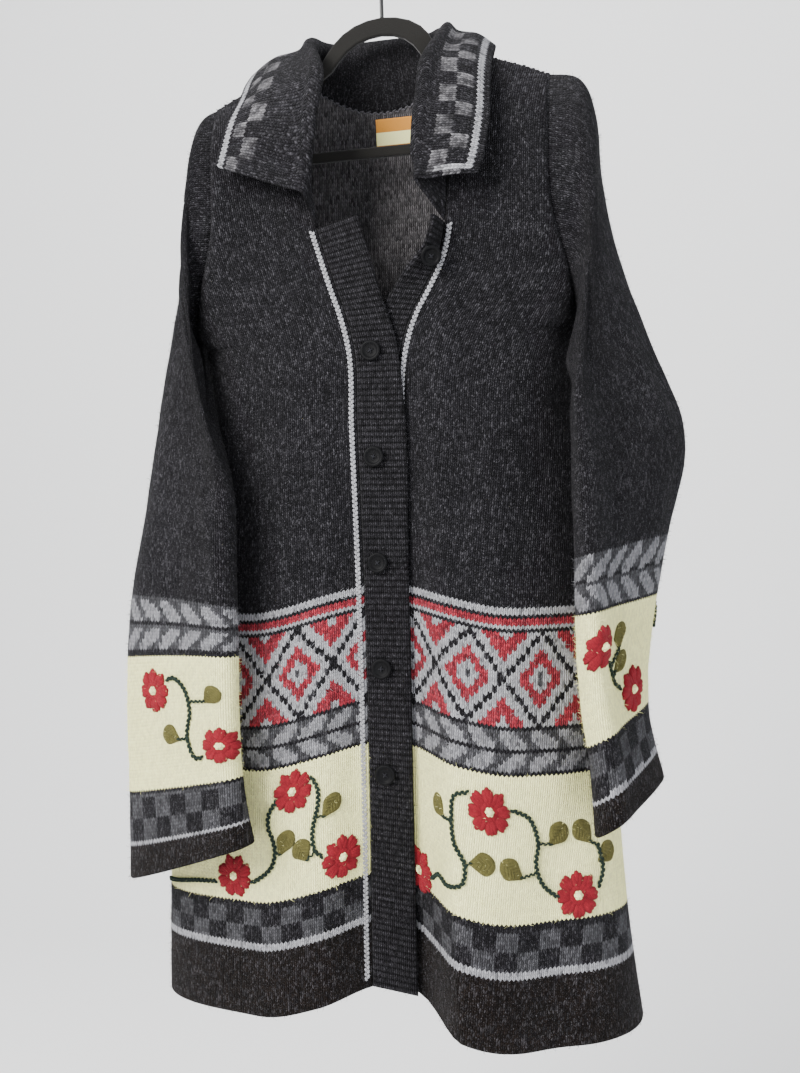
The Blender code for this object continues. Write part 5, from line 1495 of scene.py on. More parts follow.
def build_band(side, sizes, colours):
    """A button band: its ribs run across it, raised on the outside."""
    name = "band_" + hand(side)
    seam_and_free, lean = band_grid(side)
    length = lengths_along(seam_and_free.mean(axis=1))
    fine = np.arange(0, length[-1], sizes.rib_pitch / MM / RIB_STEPS)
    share = np.linspace(0, 1, BAND_COLUMNS)

    def at(grid, edge):
        return np.stack([np.interp(fine, length, grid[:, edge, k]) for k in range(3)], -1)[:, None]

    across = share[None, :, None]
    middle = at(seam_and_free, 0) * (1 - across) + at(seam_and_free, 1) * across
    facing = unit(at(lean, 0) * (1 - across) + at(lean, 1) * across)
    phase = fine / (sizes.rib_pitch / MM)
    rib = np.abs(np.sin(phase * math.pi)) ** 0.7
    edge = np.ones(len(share))
    edge[0] = edge[-1] = 0.3
    lift = RIB_HEIGHT * rib[:, None] * edge[None, :]
    lift = lift + 0.3 * uneven(middle, 11.0, 3.0)
    width = np.linalg.norm(middle[:, -1] - middle[:, 0], axis=1)
    wide = share[None, :] * width[:, None]
    panel = Panel(name, middle, facing, share, fine, wide, np.broadcast_to(fine[:, None], wide.shape))
    thick = soft_share(width[:, None] - wide)
    thick = np.minimum(thick, soft_share(panel.up))
    outer = thick + 2 * lift / WALL * thick
    panel.middle = panel.middle + panel.offset * ((outer - thick) * WALL / 4)[..., None]
    obj = shell(panel, (outer + thick) / 2, (knit_material("band", sizes, colours),) * 2)
    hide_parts(name)
    return obj


def new_tree(name, inputs):
    """An empty tree of geometry nodes with a path or mesh in, named sizes and a mesh out."""
    tree = bpy.data.node_groups.new(name, "GeometryNodeTree")
    tree.interface.new_socket("Base", in_out="INPUT", socket_type="NodeSocketGeometry")
    for label, kind, default in inputs:
        socket = tree.interface.new_socket(label, in_out="INPUT", socket_type="NodeSocket" + kind)
        if default is not None:
            socket.default_value = default
    tree.interface.new_socket("Yarn", in_out="INPUT", socket_type="NodeSocketMaterial")
    tree.interface.new_socket("Work", in_out="OUTPUT", socket_type="NodeSocketGeometry")
    return tree, tree.nodes.new("NodeGroupInput"), tree.nodes.new("NodeGroupOutput")


def put(tree, kind, values=None, **settings):
    """A node with its settings, its inputs given as values or as sockets to link."""
    node = tree.nodes.new(kind)
    for key, value in settings.items():
        setattr(node, key, value)
    for key, value in (values or {}).items():
        if isinstance(value, bpy.types.NodeSocket):
            tree.links.new(value, node.inputs[key])
        else:
            node.inputs[key].default_value = value
    return node


def number(tree, operation, *values):
    node = put(tree, "ShaderNodeMath", dict(enumerate(values)), operation=operation)
    return node.outputs[0]


def end_tree(tree, made, yarn, out):
    """Turns the copies into real mesh and gives it its yarn."""
    real = put(tree, "GeometryNodeRealizeInstances", {0: made})
    smooth = put(tree, "GeometryNodeSetShadeSmooth", {0: real.outputs[0]})
    worked = put(tree, "GeometryNodeSetMaterial", {"Geometry": smooth.outputs[0], "Material": yarn})
    tree.links.new(worked.outputs[0], out.inputs[0])


@functools.lru_cache(maxsize=None)
def chain_tree():
    """Two-strand stitches along a path: each one leans the other way from the last."""
    tree, given, out = new_tree("Stitches along a path", (
        ("Spacing", "Float", 0.003), ("Length", "Float", 0.004), ("Width", "Float", 0.002),
        ("Height", "Float", 0.0016), ("Lean", "Float", 0.5), ("Spread", "Float", 0.001),
    ))
    size = given.outputs
    curve = put(tree, "GeometryNodeMeshToCurve", {0: size["Base"]})
    spots = put(tree, "GeometryNodeCurveToPoints",
                {"Curve": curve.outputs[0], "Length": size["Spacing"]}, mode="LENGTH")
    index = put(tree, "GeometryNodeInputIndex")
    odd = number(tree, "FLOORED_MODULO", index.outputs[0], 2.0)
    sign = number(tree, "MULTIPLY_ADD", odd, -2.0, 1.0)
    facing = put(tree, "GeometryNodeInputNamedAttribute", {"Name": "facing"}, data_type="FLOAT_VECTOR")
    tangent = spots.outputs["Tangent"]
    beside = put(tree, "ShaderNodeVectorMath", {0: facing.outputs[0], 1: tangent}, operation="CROSS_PRODUCT")
    reach = number(tree, "MULTIPLY", sign, size["Spread"])
    step = put(tree, "ShaderNodeVectorMath", {0: beside.outputs[0], "Scale": reach}, operation="SCALE")
    apart = put(tree, "GeometryNodeSetPosition",
                {"Geometry": spots.outputs["Points"], "Offset": step.outputs[0]})
    ahead = put(tree, "FunctionNodeAlignRotationToVector", {"Vector": tangent}, axis="X")
    upright = put(tree, "FunctionNodeAlignRotationToVector",
                  {"Rotation": ahead.outputs[0], "Vector": facing.outputs[0]}, axis="Z", pivot_axis="X")
    lean = number(tree, "MULTIPLY", sign, size["Lean"])
    twist = put(tree, "ShaderNodeCombineXYZ", {"Z": lean})
    twist = put(tree, "FunctionNodeEulerToRotation", {0: twist.outputs[0]})
    turned = put(tree, "FunctionNodeRotateRotation",
                 {"Rotation": upright.outputs[0], "Rotate By": twist.outputs[0]}, rotation_space="LOCAL")
    stitch = put(tree, "GeometryNodeMeshUVSphere", {"Segments": 8, "Rings": 6, "Radius": 0.5})
    scale = put(tree, "ShaderNodeCombineXYZ", {"X": size["Length"], "Y": size["Width"], "Z": size["Height"]})
    placed = put(tree, "GeometryNodeInstanceOnPoints", {
        "Points": apart.outputs[0], "Instance": stitch.outputs[0],
        "Rotation": turned.outputs[0], "Scale": scale.outputs[0],
    })
    end_tree(tree, placed.outputs[0], size["Yarn"], out)
    return tree


@functools.lru_cache(maxsize=None)
def flower_tree():
    """A crocheted flower: fans of long stitches for petals round a ring of short ones."""
    tree, given, out = new_tree("Crocheted flower", (
        ("Petals", "Int", 8), ("Radius", "Float", 0.02), ("Stitch width", "Float", 0.004),
        ("Height", "Float", 0.003), ("Fan", "Float", 0.2),
    ))
    size = given.outputs
    stitches = number(tree, "MULTIPLY", size["Petals"], 3.0)
    points = put(tree, "GeometryNodePoints", {"Count": stitches})
    index = put(tree, "GeometryNodeInputIndex").outputs[0]
    petal = number(tree, "FLOOR", number(tree, "DIVIDE", index, 3.0))
    place = number(tree, "SUBTRACT", number(tree, "FLOORED_MODULO", index, 3.0), 1.0)
    turn = number(tree, "DIVIDE", math.tau, size["Petals"])
    fanned = number(tree, "MULTIPLY", place, size["Fan"])
    angle = number(tree, "ADD", number(tree, "MULTIPLY", petal, turn), fanned)
    outer = number(tree, "MULTIPLY_ADD", number(tree, "ABSOLUTE", place), -0.05, 0.64)
    chance = put(tree, "FunctionNodeRandomValue", {"Min": 0.9, "Max": 1.08, "Seed": 7}, data_type="FLOAT")
    uneven_reach = chance.outputs[1]
    outer = number(tree, "MULTIPLY", outer, uneven_reach)
    reach = number(tree, "MULTIPLY", size["Radius"], outer)
    spot = put(tree, "ShaderNodeCombineXYZ", {
        "X": number(tree, "MULTIPLY", reach, number(tree, "COSINE", angle)),
        "Y": number(tree, "MULTIPLY", reach, number(tree, "SINE", angle)),
    })
    ring = put(tree, "GeometryNodeSetPosition", {"Geometry": points.outputs[0], "Position": spot.outputs[0]})
    turned = put(tree, "ShaderNodeCombineXYZ", {"Z": angle})
    stitch = put(tree, "GeometryNodeMeshUVSphere", {"Segments": 12, "Rings": 8, "Radius": 0.5})
    longer = number(tree, "MULTIPLY", size["Radius"], 0.66)
    scale = put(tree, "ShaderNodeCombineXYZ", {
        "X": longer, "Y": size["Stitch width"], "Z": number(tree, "MULTIPLY", size["Height"], 2.0),
    })
    petals = put(tree, "GeometryNodeInstanceOnPoints", {
        "Points": ring.outputs[0], "Instance": stitch.outputs[0],
        "Rotation": turned.outputs[0], "Scale": scale.outputs[0],
    })
    circle = put(tree, "GeometryNodeMeshCircle", {
        "Vertices": number(tree, "MULTIPLY", size["Petals"], 1.5),
        "Radius": number(tree, "MULTIPLY", size["Radius"], 0.27),
    })
    bead = put(tree, "GeometryNodeMeshUVSphere", {"Segments": 10, "Rings": 7, "Radius": 0.5})
    wide = number(tree, "MULTIPLY", size["Stitch width"], 1.1)
    small = put(tree, "ShaderNodeCombineXYZ", {
        "X": wide, "Y": wide, "Z": number(tree, "MULTIPLY", size["Height"], 1.9),
    })
    beads = put(tree, "GeometryNodeInstanceOnPoints", {
        "Points": circle.outputs[0], "Instance": bead.outputs[0], "Scale": small.outputs[0],
    })
    both = tree.nodes.new("GeometryNodeJoinGeometry")
    tree.links.new(petals.outputs[0], both.inputs[0])
    tree.links.new(beads.outputs[0], both.inputs[0])
    end_tree(tree, both.outputs[0], size["Yarn"], out)
    return tree


def worked(tree, base, values):
    """Runs a tree on a base mesh and returns the plain mesh that it makes."""
    holder = linked("base", base)
    modifier = holder.modifiers.new("Work", "NODES")
    modifier.node_group = tree
    for item in tree.interface.items_tree:
        if item.in_out == "INPUT" and item.name in values:
            modifier[item.identifier] = values[item.name]
    graph = bpy.context.evaluated_depsgraph_get()
    mesh = bpy.data.meshes.new_from_object(holder.evaluated_get(graph))
    holder.modifiers.remove(modifier)
    bpy.data.objects.remove(holder)
    return mesh


def path_mesh(paths):
    """Open lines through points in millimetres, each point with its facing direction."""
    mesh = bpy.data.meshes.new("path")
    points, edges, facing = [], [], []
    for line, directions in paths:
        first = len(points)
        points += (np.asarray(line) * MM).tolist()
        facing += np.asarray(directions).tolist()
        edges += [(first + k, first + k + 1) for k in range(len(line) - 1)]
    mesh.from_pydata(points, edges, [])
    layer = mesh.attributes.new("facing", "FLOAT_VECTOR", "POINT")
    layer.data.foreach_set("vector", np.array(facing, np.float32).ravel())
    return mesh


Stitch = namedtuple("Stitch", "spacing length width height lean spread")
EDGE_CORD = Stitch(2.1, 4.4, 2.9, 1.7, 0.38, 1.1)
VINE_CHAIN = Stitch(2.3, 4.8, 2.8, 2.9, 0.36, 0.8)
STEM_CHAIN = Stitch(2.2, 4.2, 1.9, 2.4, 0.4, 0.6)
SEAM_STITCH = Stitch(4.6, 5.2, 2.0, 1.2, 0.75, 0.9)
NECK_STITCH = Stitch(3.2, 4.6, 1.8, 1.4, 0.4, 0.7)


def build_chain(name, paths, stitch, yarn):
    values = {
        "Spacing": stitch.spacing * MM, "Length": stitch.length * MM, "Width": stitch.width * MM,
        "Height": stitch.height * MM, "Lean": stitch.lean, "Spread": stitch.spread * MM, "Yarn": yarn,
    }
    obj = finished(name, worked(chain_tree(), path_mesh(paths), values))
    return obj


def laid_mesh(flat_points, name, place, turn, base):
    """A flat motif's points laid on a panel: their height goes out of the cloth."""
    c, s = math.cos(math.radians(turn)), math.sin(math.radians(turn))
    across = place[0] + flat_points[:, 0] * c - flat_points[:, 1] * s
    up = place[1] + flat_points[:, 0] * s + flat_points[:, 1] * c
    return on_panel(name, across, up, base + flat_points[:, 2])[0]


def mesh_arrays(mesh):
    points = np.empty(len(mesh.vertices) * 3)
    mesh.vertices.foreach_get("co", points)
    return points.reshape(-1, 3) / MM, [tuple(p.vertices) for p in mesh.polygons]


def joined(name, parts, yarn):
    """One object from several sets of points in millimetres and their faces."""
    points, faces = [], []
    for some, their in parts:
        first = sum(map(len, points))
        points.append(some)
        faces += [tuple(first + k for k in face) for face in their]
    mesh = bpy.data.meshes.new(name)
    mesh.from_pydata((np.concatenate(points) * MM).tolist(), [], faces)
    mesh.materials.append(yarn)
    obj = finished(name, mesh)
    return obj


def build_flowers(sizes, colours):
    """All the flowers, each laid on its panel, and their white middles."""
    values = {
        "Petals": FLOWER_PETALS, "Radius": sizes.flower_radius, "Stitch width": PETAL_STITCH * MM,
        "Height": PETAL_HEIGHT * MM, "Fan": 0.19,
    }
    red = yarn_material("red yarn", colours.flower)
    flat, faces = mesh_arrays(worked(flower_tree(), path_mesh([]), {**values, "Yarn": red}))
    flat[:, 2] = np.maximum(flat[:, 2], 0.0)
    knot, knot_faces = knot_of(KNOT_RADIUS)
    petals, middles = [], []
    for name, places in FLOWERS.items():
        for flower in places:
            spot = (flower.across, flower.up)
            petals.append((laid_mesh(flat, name, spot, flower.turn, PETAL_GAP), faces))
            middles.append((laid_mesh(knot, name, spot, flower.turn, PETAL_GAP + 1.6), knot_faces))
    joined("crocheted_flowers", petals, red)
    joined("flower_middles", middles, yarn_material("white yarn", colours.cream))


def ball(radius, centre, segments=8, rings=5):
    """A small ball: its points and faces."""
    points, faces = [(centre[0], centre[1], centre[2] + radius)], []
    for ring in range(1, rings):
        tilt = math.pi * ring / rings
        for k in range(segments):
            turn = math.tau * k / segments
            points.append((centre[0] + radius * math.sin(tilt) * math.cos(turn),
                           centre[1] + radius * math.sin(tilt) * math.sin(turn),
                           centre[2] + radius * math.cos(tilt)))
    points.append((centre[0], centre[1], centre[2] - radius))
    last = len(points) - 1
    for k in range(segments):
        after = (k + 1) % segments
        faces.append((0, 1 + k, 1 + after))
        for ring in range(rings - 2):
            a, b = 1 + ring * segments, 1 + (ring + 1) * segments
            faces.append((a + k, b + k, b + after, a + after))
        faces.append((last, last - segments + after, last - segments + k))
    return points, faces


def knot_of(radius):
    """The knot at a flower's middle: one ball in a ring of smaller ones."""
    points, faces = ball(radius, (0, 0, radius * 0.5))
    for k in range(KNOT_BEADS):
        turn = math.tau * k / KNOT_BEADS
        reach = radius * 0.85
        more, their = ball(radius * 0.62, (reach * math.cos(turn), reach * math.sin(turn), 0.4))
        faces = faces + [tuple(len(points) + i for i in face) for face in their]
        points = points + more
    return np.array(points), faces


def leaf_of(length, width, height):
    """A crocheted leaf: a teardrop dome with rows of stitches round a groove."""
    outline = np.linspace(0, math.tau, LEAF_SEGMENTS, endpoint=False)
    points, faces = [(0.0, 0.0, height)], []
    for ring in range(1, LEAF_RINGS + 1):
        share = ring / LEAF_RINGS
        for k, turn in enumerate(outline):
            narrow = 1 - 0.62 * smoothstep((math.cos(turn) + 0.25) / 1.25)
            x = length / 2 * math.cos(turn) * share
            y = width / 2 * math.sin(turn) * share * narrow / 0.86
            dome = math.sqrt(max(1 - share**4, 0))
            groove = 1 - 0.3 * math.exp(-((y / 1.2) ** 2))
            ridge = math.cos(math.tau * (x - abs(y) * 0.9) / LEAF_RIDGE)
            stitch = 0.8 + 0.24 * ridge * (1 - share**6)
            points.append((x, y, height * dome * groove * stitch))
    for k in range(LEAF_SEGMENTS):
        after = (k + 1) % LEAF_SEGMENTS
        faces.append((0, 1 + k, 1 + after))
        for ring in range(LEAF_RINGS - 1):
            a, b = 1 + ring * LEAF_SEGMENTS, 1 + (ring + 1) * LEAF_SEGMENTS
            faces.append((a + k, b + k, b + after, a + after))
    last = 1 + (LEAF_RINGS - 1) * LEAF_SEGMENTS
    faces.append(tuple(last + k for k in range(LEAF_SEGMENTS))[::-1])
    return np.array(points), faces


def build_leaves(colours):
    flat, faces = leaf_of(LEAF_LENGTH, LEAF_WIDTH, LEAF_HEIGHT)
    laid = []
    for name, places in LEAVES.items():
        for leaf in places:
            laid.append((laid_mesh(flat, name, (leaf.across, leaf.up), leaf.turn, PETAL_GAP), faces))
    joined("crocheted_leaves", laid, yarn_material("olive yarn", colours.olive))


def flat_curve(path, step=1.5):
    """A smooth curve through the points of a path on the flat cloth."""
    path = np.asarray(path, float)
    knots = lengths_along(path)
    return spline(knots, path, np.linspace(0, knots[-1], max(3, int(knots[-1] / step))))


def build_vines(colours):
    """The chained vines, and a short stem from each leaf's narrow end to the nearest of them."""
    vines, stems = [], []
    for name, paths in VINES.items():
        curves = [flat_curve(path) for path in paths]
        for curve in curves:
            vines.append(on_panel(name, curve[:, 0], curve[:, 1], np.full(len(curve), VINE_RISE)))
        every = np.concatenate(curves)
        for leaf in LEAVES[name]:
            turn = math.radians(leaf.turn)
            tip = np.array([leaf.across, leaf.up])
            tip = tip + (LEAF_LENGTH / 2 - 2) * np.array([math.cos(turn), math.sin(turn)])
            near = every[np.argmin(np.linalg.norm(every - tip, axis=1))]
            if np.linalg.norm(near - tip) < STEM_LIMIT:
                stem = flat_curve([tip, (tip + near) / 2, near], 1.0)
                stems.append(on_panel(name, stem[:, 0], stem[:, 1], np.full(len(stem), VINE_RISE)))
    green = yarn_material("green yarn", colours.vine)
    build_chain("crocheted_vines", vines, VINE_CHAIN, green)
    build_chain("leaf_stems", stems, STEM_CHAIN, green)


def rim_path(side, low, high, out, inset, step=4.0):
    """A line along a front's inner edge between two heights, on its outer skin."""
    height = np.arange(low, high, step)
    points, leans = front_rim(side, height, -inset)
    return points + leans * (WALL / 2 + out), leans


def build_cords(colours):
    """The light twisted cords along both front edges."""
    light = yarn_material("grey yarn", colours.light)
    right = rim_path(RIGHT, RIGHT_CORD[0], RIGHT_CORD[1], CORD_RISE, CORD_INSET)
    left = rim_path(LEFT, LEFT_CORD[0], LEFT_CORD[1], CORD_RISE, CORD_INSET)
    build_chain("edge_cords", [right, left], EDGE_CORD, light)


def build_seams(colours):
    """Sewn stitches on the shoulders' and armholes' seams, and along the back's neck inside."""
    dark = yarn_material("seam yarn", colours.seam)
    paths = []
    for name in ("front_right", "front_left"):
        panel = panel_of(name)
        seam = len(BODY_ROWS)
        sewn = panel.middle + panel.offset * (WALL / 2 + SEAM_RISE)
        paths.append((sewn[-1], panel.offset[-1]))
        paths.append((sewn[seam:, -1], panel.offset[seam:, -1]))
    build_chain("seam_stitches", paths, SEAM_STITCH, dark)
    back = panel_of("back")
    line, lean = back.middle[-1], back.offset[-1]
    neck = np.abs(line[:, 0]) < NECK_X - 6
    inner = line[neck] - lean[neck] * (WALL / 2 + SEAM_RISE)
    pale = yarn_material("neck yarn", colours.fleck)
    build_chain("neck_seam", [(inner, -lean[neck])], NECK_STITCH, pale)


def lathed(profile, steps):
    """A turned shape round the Z axis: points and faces. The profile starts and ends on the axis."""
    points, faces = [(0, 0, profile[0][1])], []
    rings = profile[1:-1]
    for radius, height in rings:
        for k in range(steps):
            turn = math.tau * k / steps
            points.append((radius * math.cos(turn), radius * math.sin(turn), height))
    points.append((0, 0, profile[-1][1]))
    last = len(points) - 1
    for k in range(steps):
        after = (k + 1) % steps
        faces.append((0, 1 + after, 1 + k))
        for ring in range(len(rings) - 1):
            a, b = 1 + ring * steps, 1 + (ring + 1) * steps
            faces.append((a + k, a + after, b + after, b + k))
        faces.append((last, last - steps + k, last - steps + after))
    return np.array(points, float), faces


def tube(path, radius, sides=6):
    """A round strand along a short path, closed at its ends."""
    path = np.asarray(path, float)
    along = tangent_of(path)
    beside = unit(np.cross(along, (0.3, 0.2, 1.0)))
    over = np.cross(along, beside)
    turn = np.arange(sides) * math.tau / sides
    round_it = beside[:, None] * np.cos(turn)[:, None] + over[:, None] * np.sin(turn)[:, None]
    points = (path[:, None] + radius * round_it).reshape(-1, 3)
    faces = []
    for k in range(len(path) - 1):
        for s in range(sides):
            after = (s + 1) % sides
            faces.append((k * sides + s, k * sides + after, (k + 1) * sides + after, (k + 1) * sides + s))
    faces.append(tuple(range(sides))[::-1])
    faces.append(tuple(len(points) - sides + s for s in range(sides)))
    return points, faces


def placed(points, centre, normal, turn=0.0):
    """Points of a flat motif moved to a place and turned to face along a normal."""
    spin = Matrix.Rotation(turn, 3, "Z")
    lean = Vector((0, 0, 1)).rotation_difference(Vector(normal)).to_matrix()
    return points @ np.array(lean @ spin).T + np.asarray(centre)


def button_places():
    """Where each button's back lies and which way it faces, as the CAD has them."""
    places = []
    middle, offset = band_grid(LEFT)
    row = int(np.argmin(np.abs(middle[:, 0, 2] - OPEN_BUTTON_Z)))
    normal = unit(offset[row].sum(axis=0))
    place = middle[row].mean(axis=0) + normal * (WALL / 2 + RIB_HEIGHT + OPEN_BUTTON_GAP)
    places.append((tuple(place), tuple(normal)))
    for k in range(5):
        z = BUTTON_TOP - k * BUTTON_STEP
        height = z - HEM_Z
        seam_y = -front_depth(RIGHT, np.array(-17.0), np.array(height))
        free_y = spline(column_of(TOP_BAND_FREE, "height"), column_of(TOP_BAND_FREE, "y"), height)
        face = min(float(seam_y), float(free_y)) - WALL / 2 - RIB_HEIGHT
        places.append(((BUTTON_X, face - SEAM_GAP, z), (0, -1, 0)))
    return places


def build_buttons(colours):
    """Turned buttons with a raised rim, four eyes in a shallow dish and thread across them."""
    black = hard_material("dark horn", colours.button, 0.5, 0.0, 420.0, 0.00006, 0.01)
    thread = yarn_material("button thread", colours.seam)
    dish, dish_faces = lathed(BUTTON_PROFILE, 48)
    for k, (centre, normal) in enumerate(button_places()):
        turn = 0.3 + 0.9 * k
        parts = [(placed(dish, centre, normal, turn), dish_faces)]
        for x, y in EYES:
            eye, eye_faces = lathed(EYE_PROFILE, 16)
            parts.append((placed(eye + (x, y, 0), centre, normal, turn), eye_faces))
        obj = joined("button_%d_turned" % (k + 1), parts, black)
        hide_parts("button_%d" % (k + 1))
        sewn = []
        for (x0, y0), (x1, y1) in ((EYES[0], EYES[2]), (EYES[1], EYES[3])):
            for aside in (-0.35, 0.35):
                line = [
                    (x0 + aside, y0 + aside * 0.4, 3.0), (x0 * 0.5 + aside, y0 * 0.5, 4.1), (aside, 0, 4.3),
                    (x1 * 0.5 + aside, y1 * 0.5, 4.1), (x1 + aside, y1 + aside * 0.4, 3.0),
                ]
                strand, strand_faces = tube(line, 0.36)
                sewn.append((placed(strand, centre, normal, turn), strand_faces))
        joined("button_%d_thread" % (k + 1), sewn, thread)


def label_mesh(name, label, material_made):
    """A woven label on the back's inside: its points follow the cloth, and it thins towards its left and
    right ends.
    """
    columns = np.linspace(label.left, label.right, LABEL_COLUMNS)
    rows = np.linspace(label.bottom, label.top, LABEL_ROWS)
    x, z = np.meshgrid(columns, rows)
    height = height_of(x, z, back_sag)
    place = back_point(x, height)
    side = back_point(x + 1, height) - back_point(x - 1, height)
    rise = back_point(x, height + 1) - back_point(x, height - 1)
    normal = unit(np.cross(side, rise))
    normal = normal * np.where(normal[..., 1:2] > 0, -1, 1)
    edge = np.minimum(x - label.left, label.right - x)
    soft = smoothstep(edge / 2.5) * 0.35
    base = place + normal * (WALL / 2 + LABEL_GAP)
    top = base + normal * (label.thick * (0.65 + soft))[..., None]
    count, wide = x.size, len(columns)
    points = np.concatenate([base.reshape(-1, 3), top.reshape(-1, 3)])
    r, c = np.meshgrid(np.arange(len(rows) - 1), np.arange(wide - 1), indexing="ij")
    a = (r * wide + c).ravel()
    quads = [np.stack([a, a + 1, a + 1 + wide, a + wide], -1)]
    quads.append(quads[0][:, ::-1] + count)
    ring = list(range(wide)) + [wide * (k + 1) - 1 for k in range(1, len(rows))]
    ring += [count - 1 - k for k in range(1, wide)] + [wide * k for k in range(len(rows) - 2, 0, -1)]
    ring = np.array(ring)
    after = np.roll(ring, -1)
    quads.append(np.stack([ring, after, after + count, ring + count], -1))
    quads = np.concatenate(quads)
    flat = np.stack([x - label.left, z - label.bottom], -1).reshape(-1, 2)
    uv = np.concatenate([flat, flat])[quads.ravel()]
    obj = cloth_object(name + "_woven", points, quads, uv, np.zeros(len(quads), int), (material_made,))
    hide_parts(name)
    return obj


def build_labels(colours):
    orange = woven_material("orange ribbon", colours.label, (tuple(colours.cream), 1.5, 14.0))
    tan = woven_material("tan ribbon", colours.tag, (tuple(colours.tag), 0.0, 0.0))
    label_mesh("label", LABEL, orange)
    label_mesh("size_tag", SIZE_TAG, tan)


def finish_hanger(colours):
    """The hanger and its hook keep their own shapes and get flock and coated wire."""
    flock = hard_material("black flock", colours.flock, 0.95, 0.0, 1500.0, 0.0003, 0.3)
    wire = hard_material("dark wire", colours.wire, 0.35, 0.9, 500.0, 0.00003)
    for node, made in (("hanger", flock), ("hanger_hook", wire)):
        materials = bpy.data.objects[node].data.materials
        for index in range(len(materials)):
            bpy.data.objects[node].material_slots[index].material = made


def add_light(name, place, aim, width, height, power, colour):
    data = bpy.data.lights.new(name, "AREA")
    data.shape = "RECTANGLE"
    data.size, data.size_y = width, height
    data.energy = power
    data.color = colour
    obj = linked(name, data)
    obj.location = place
    obj.rotation_euler = (Vector(aim) - Vector(place)).to_track_quat("-Z", "Y").to_euler()


def build_backdrop(colour):
    """A pale floor that curves up into a wall behind."""
    profile = [(BACKDROP_NEAR, BACKDROP_FLOOR), (BACKDROP_WALL - 1.0, BACKDROP_FLOOR)]
    for k in range(1, BACKDROP_STEPS + 1):
        turn = math.pi / 2 * k / BACKDROP_STEPS
        profile.append((BACKDROP_WALL - 1.0 + math.sin(turn), BACKDROP_FLOOR + 1.0 - math.cos(turn)))
    profile.append((BACKDROP_WALL, BACKDROP_TOP))
    points = [(x, y, z) for y, z in profile for x in (-BACKDROP_HALF, BACKDROP_HALF)]
    faces = [(2 * k, 2 * k + 1, 2 * k + 3, 2 * k + 2) for k in range(len(profile) - 1)]
    mesh = bpy.data.meshes.new("backdrop")
    mesh.from_pydata(points, [], faces)
    mesh.shade_smooth()
    made, tree, shader = new_material("backdrop paper", 0.95)
    broad = noise_of(tree, 0.6, 1.0)
    tone = broad.made("MULTIPLY_ADD", 0.02, 0.0)
    shade = [tone + channel for channel in colour]
    paper = put(tree, "ShaderNodeCombineColor", {k: value.socket for k, value in enumerate(shade)})
    tree.links.new(paper.outputs[0], shader.inputs["Base Color"])
    mesh.materials.append(made)
    obj = linked("backdrop", mesh)


def build_camera():
    """The photograph's viewpoint: level, a little to the right of the middle, rolled two degrees."""
    turn, roll = math.radians(CAMERA_TURN), math.radians(CAMERA_ROLL)
    level = Vector((math.cos(turn), math.sin(turn), 0))
    ahead = Vector((-math.sin(turn), math.cos(turn), 0))
    right = level * math.cos(roll) - Vector((0, 0, 1)) * math.sin(roll)
    up = level * math.sin(roll) + Vector((0, 0, 1)) * math.cos(roll)
    data = bpy.data.cameras.new("camera")
    data.sensor_width = SENSOR_WIDTH
    data.lens = CAMERA_LENS
    data.clip_start, data.clip_end = 0.05, 20.0
    obj = linked("camera", data)
    turned = Matrix((right, up, -ahead)).transposed().to_4x4()
    turned.translation = CAMERA_PLACE
    obj.matrix_world = turned
    bpy.context.scene.camera = obj


def build_stage(colours):
    build_camera()
    build_backdrop(tuple(colours.backdrop))
    for light in LIGHTS:
        add_light(*light)
    world = bpy.data.worlds.new("studio")
    world.use_nodes = True
    shader = world.node_tree.nodes["Background"]
    shader.inputs["Color"].default_value = WORLD_COLOUR
    shader.inputs["Strength"].default_value = WORLD_LIGHT
    bpy.context.scene.world = world


def length(name, description, default):
    return bpy.props.FloatProperty(name=name, description=description, default=default, unit="LENGTH",
                                   precision=4, min=0.0001, max=1.0)


def tint(name, description, default):
    return bpy.props.FloatVectorProperty(name=name, description=description, default=default,
                                         subtype="COLOR", size=3, min=0.0, max=1.0)


class JACKET_PG_sizes(bpy.types.PropertyGroup):
    stitch_width: length("Stitch width", "Width of one knit stitch", 0.004)
    stitch_height: length("Stitch height", "Height of one row of knit stitches", 0.0031)
    stitch_relief: length("Stitch relief", "How far a stitch stands out in the wool's relief", 0.0014)
    rib_pitch: length("Rib pitch", "Distance between two ribs of a button band", 0.0054)
    flower_radius: length("Flower radius", "Radius of a crocheted flower", 0.0205)
    check_side: length("Check side", "Width of one square of the checked border", 0.02)
    diamond_repeat: length("Diamond repeat", "Distance between two knitted diamonds", 0.0648)
    nap_length: length("Nap length", "Length of the wool's loose hairs", 0.0045)
    nap_width: length("Nap width", "Width of a loose hair at its root", 0.0003)
    heather: bpy.props.FloatProperty(
        name="Heather", description="How much the stitches' shades differ", default=1.0, subtype="FACTOR",
        min=0.0, max=1.0)


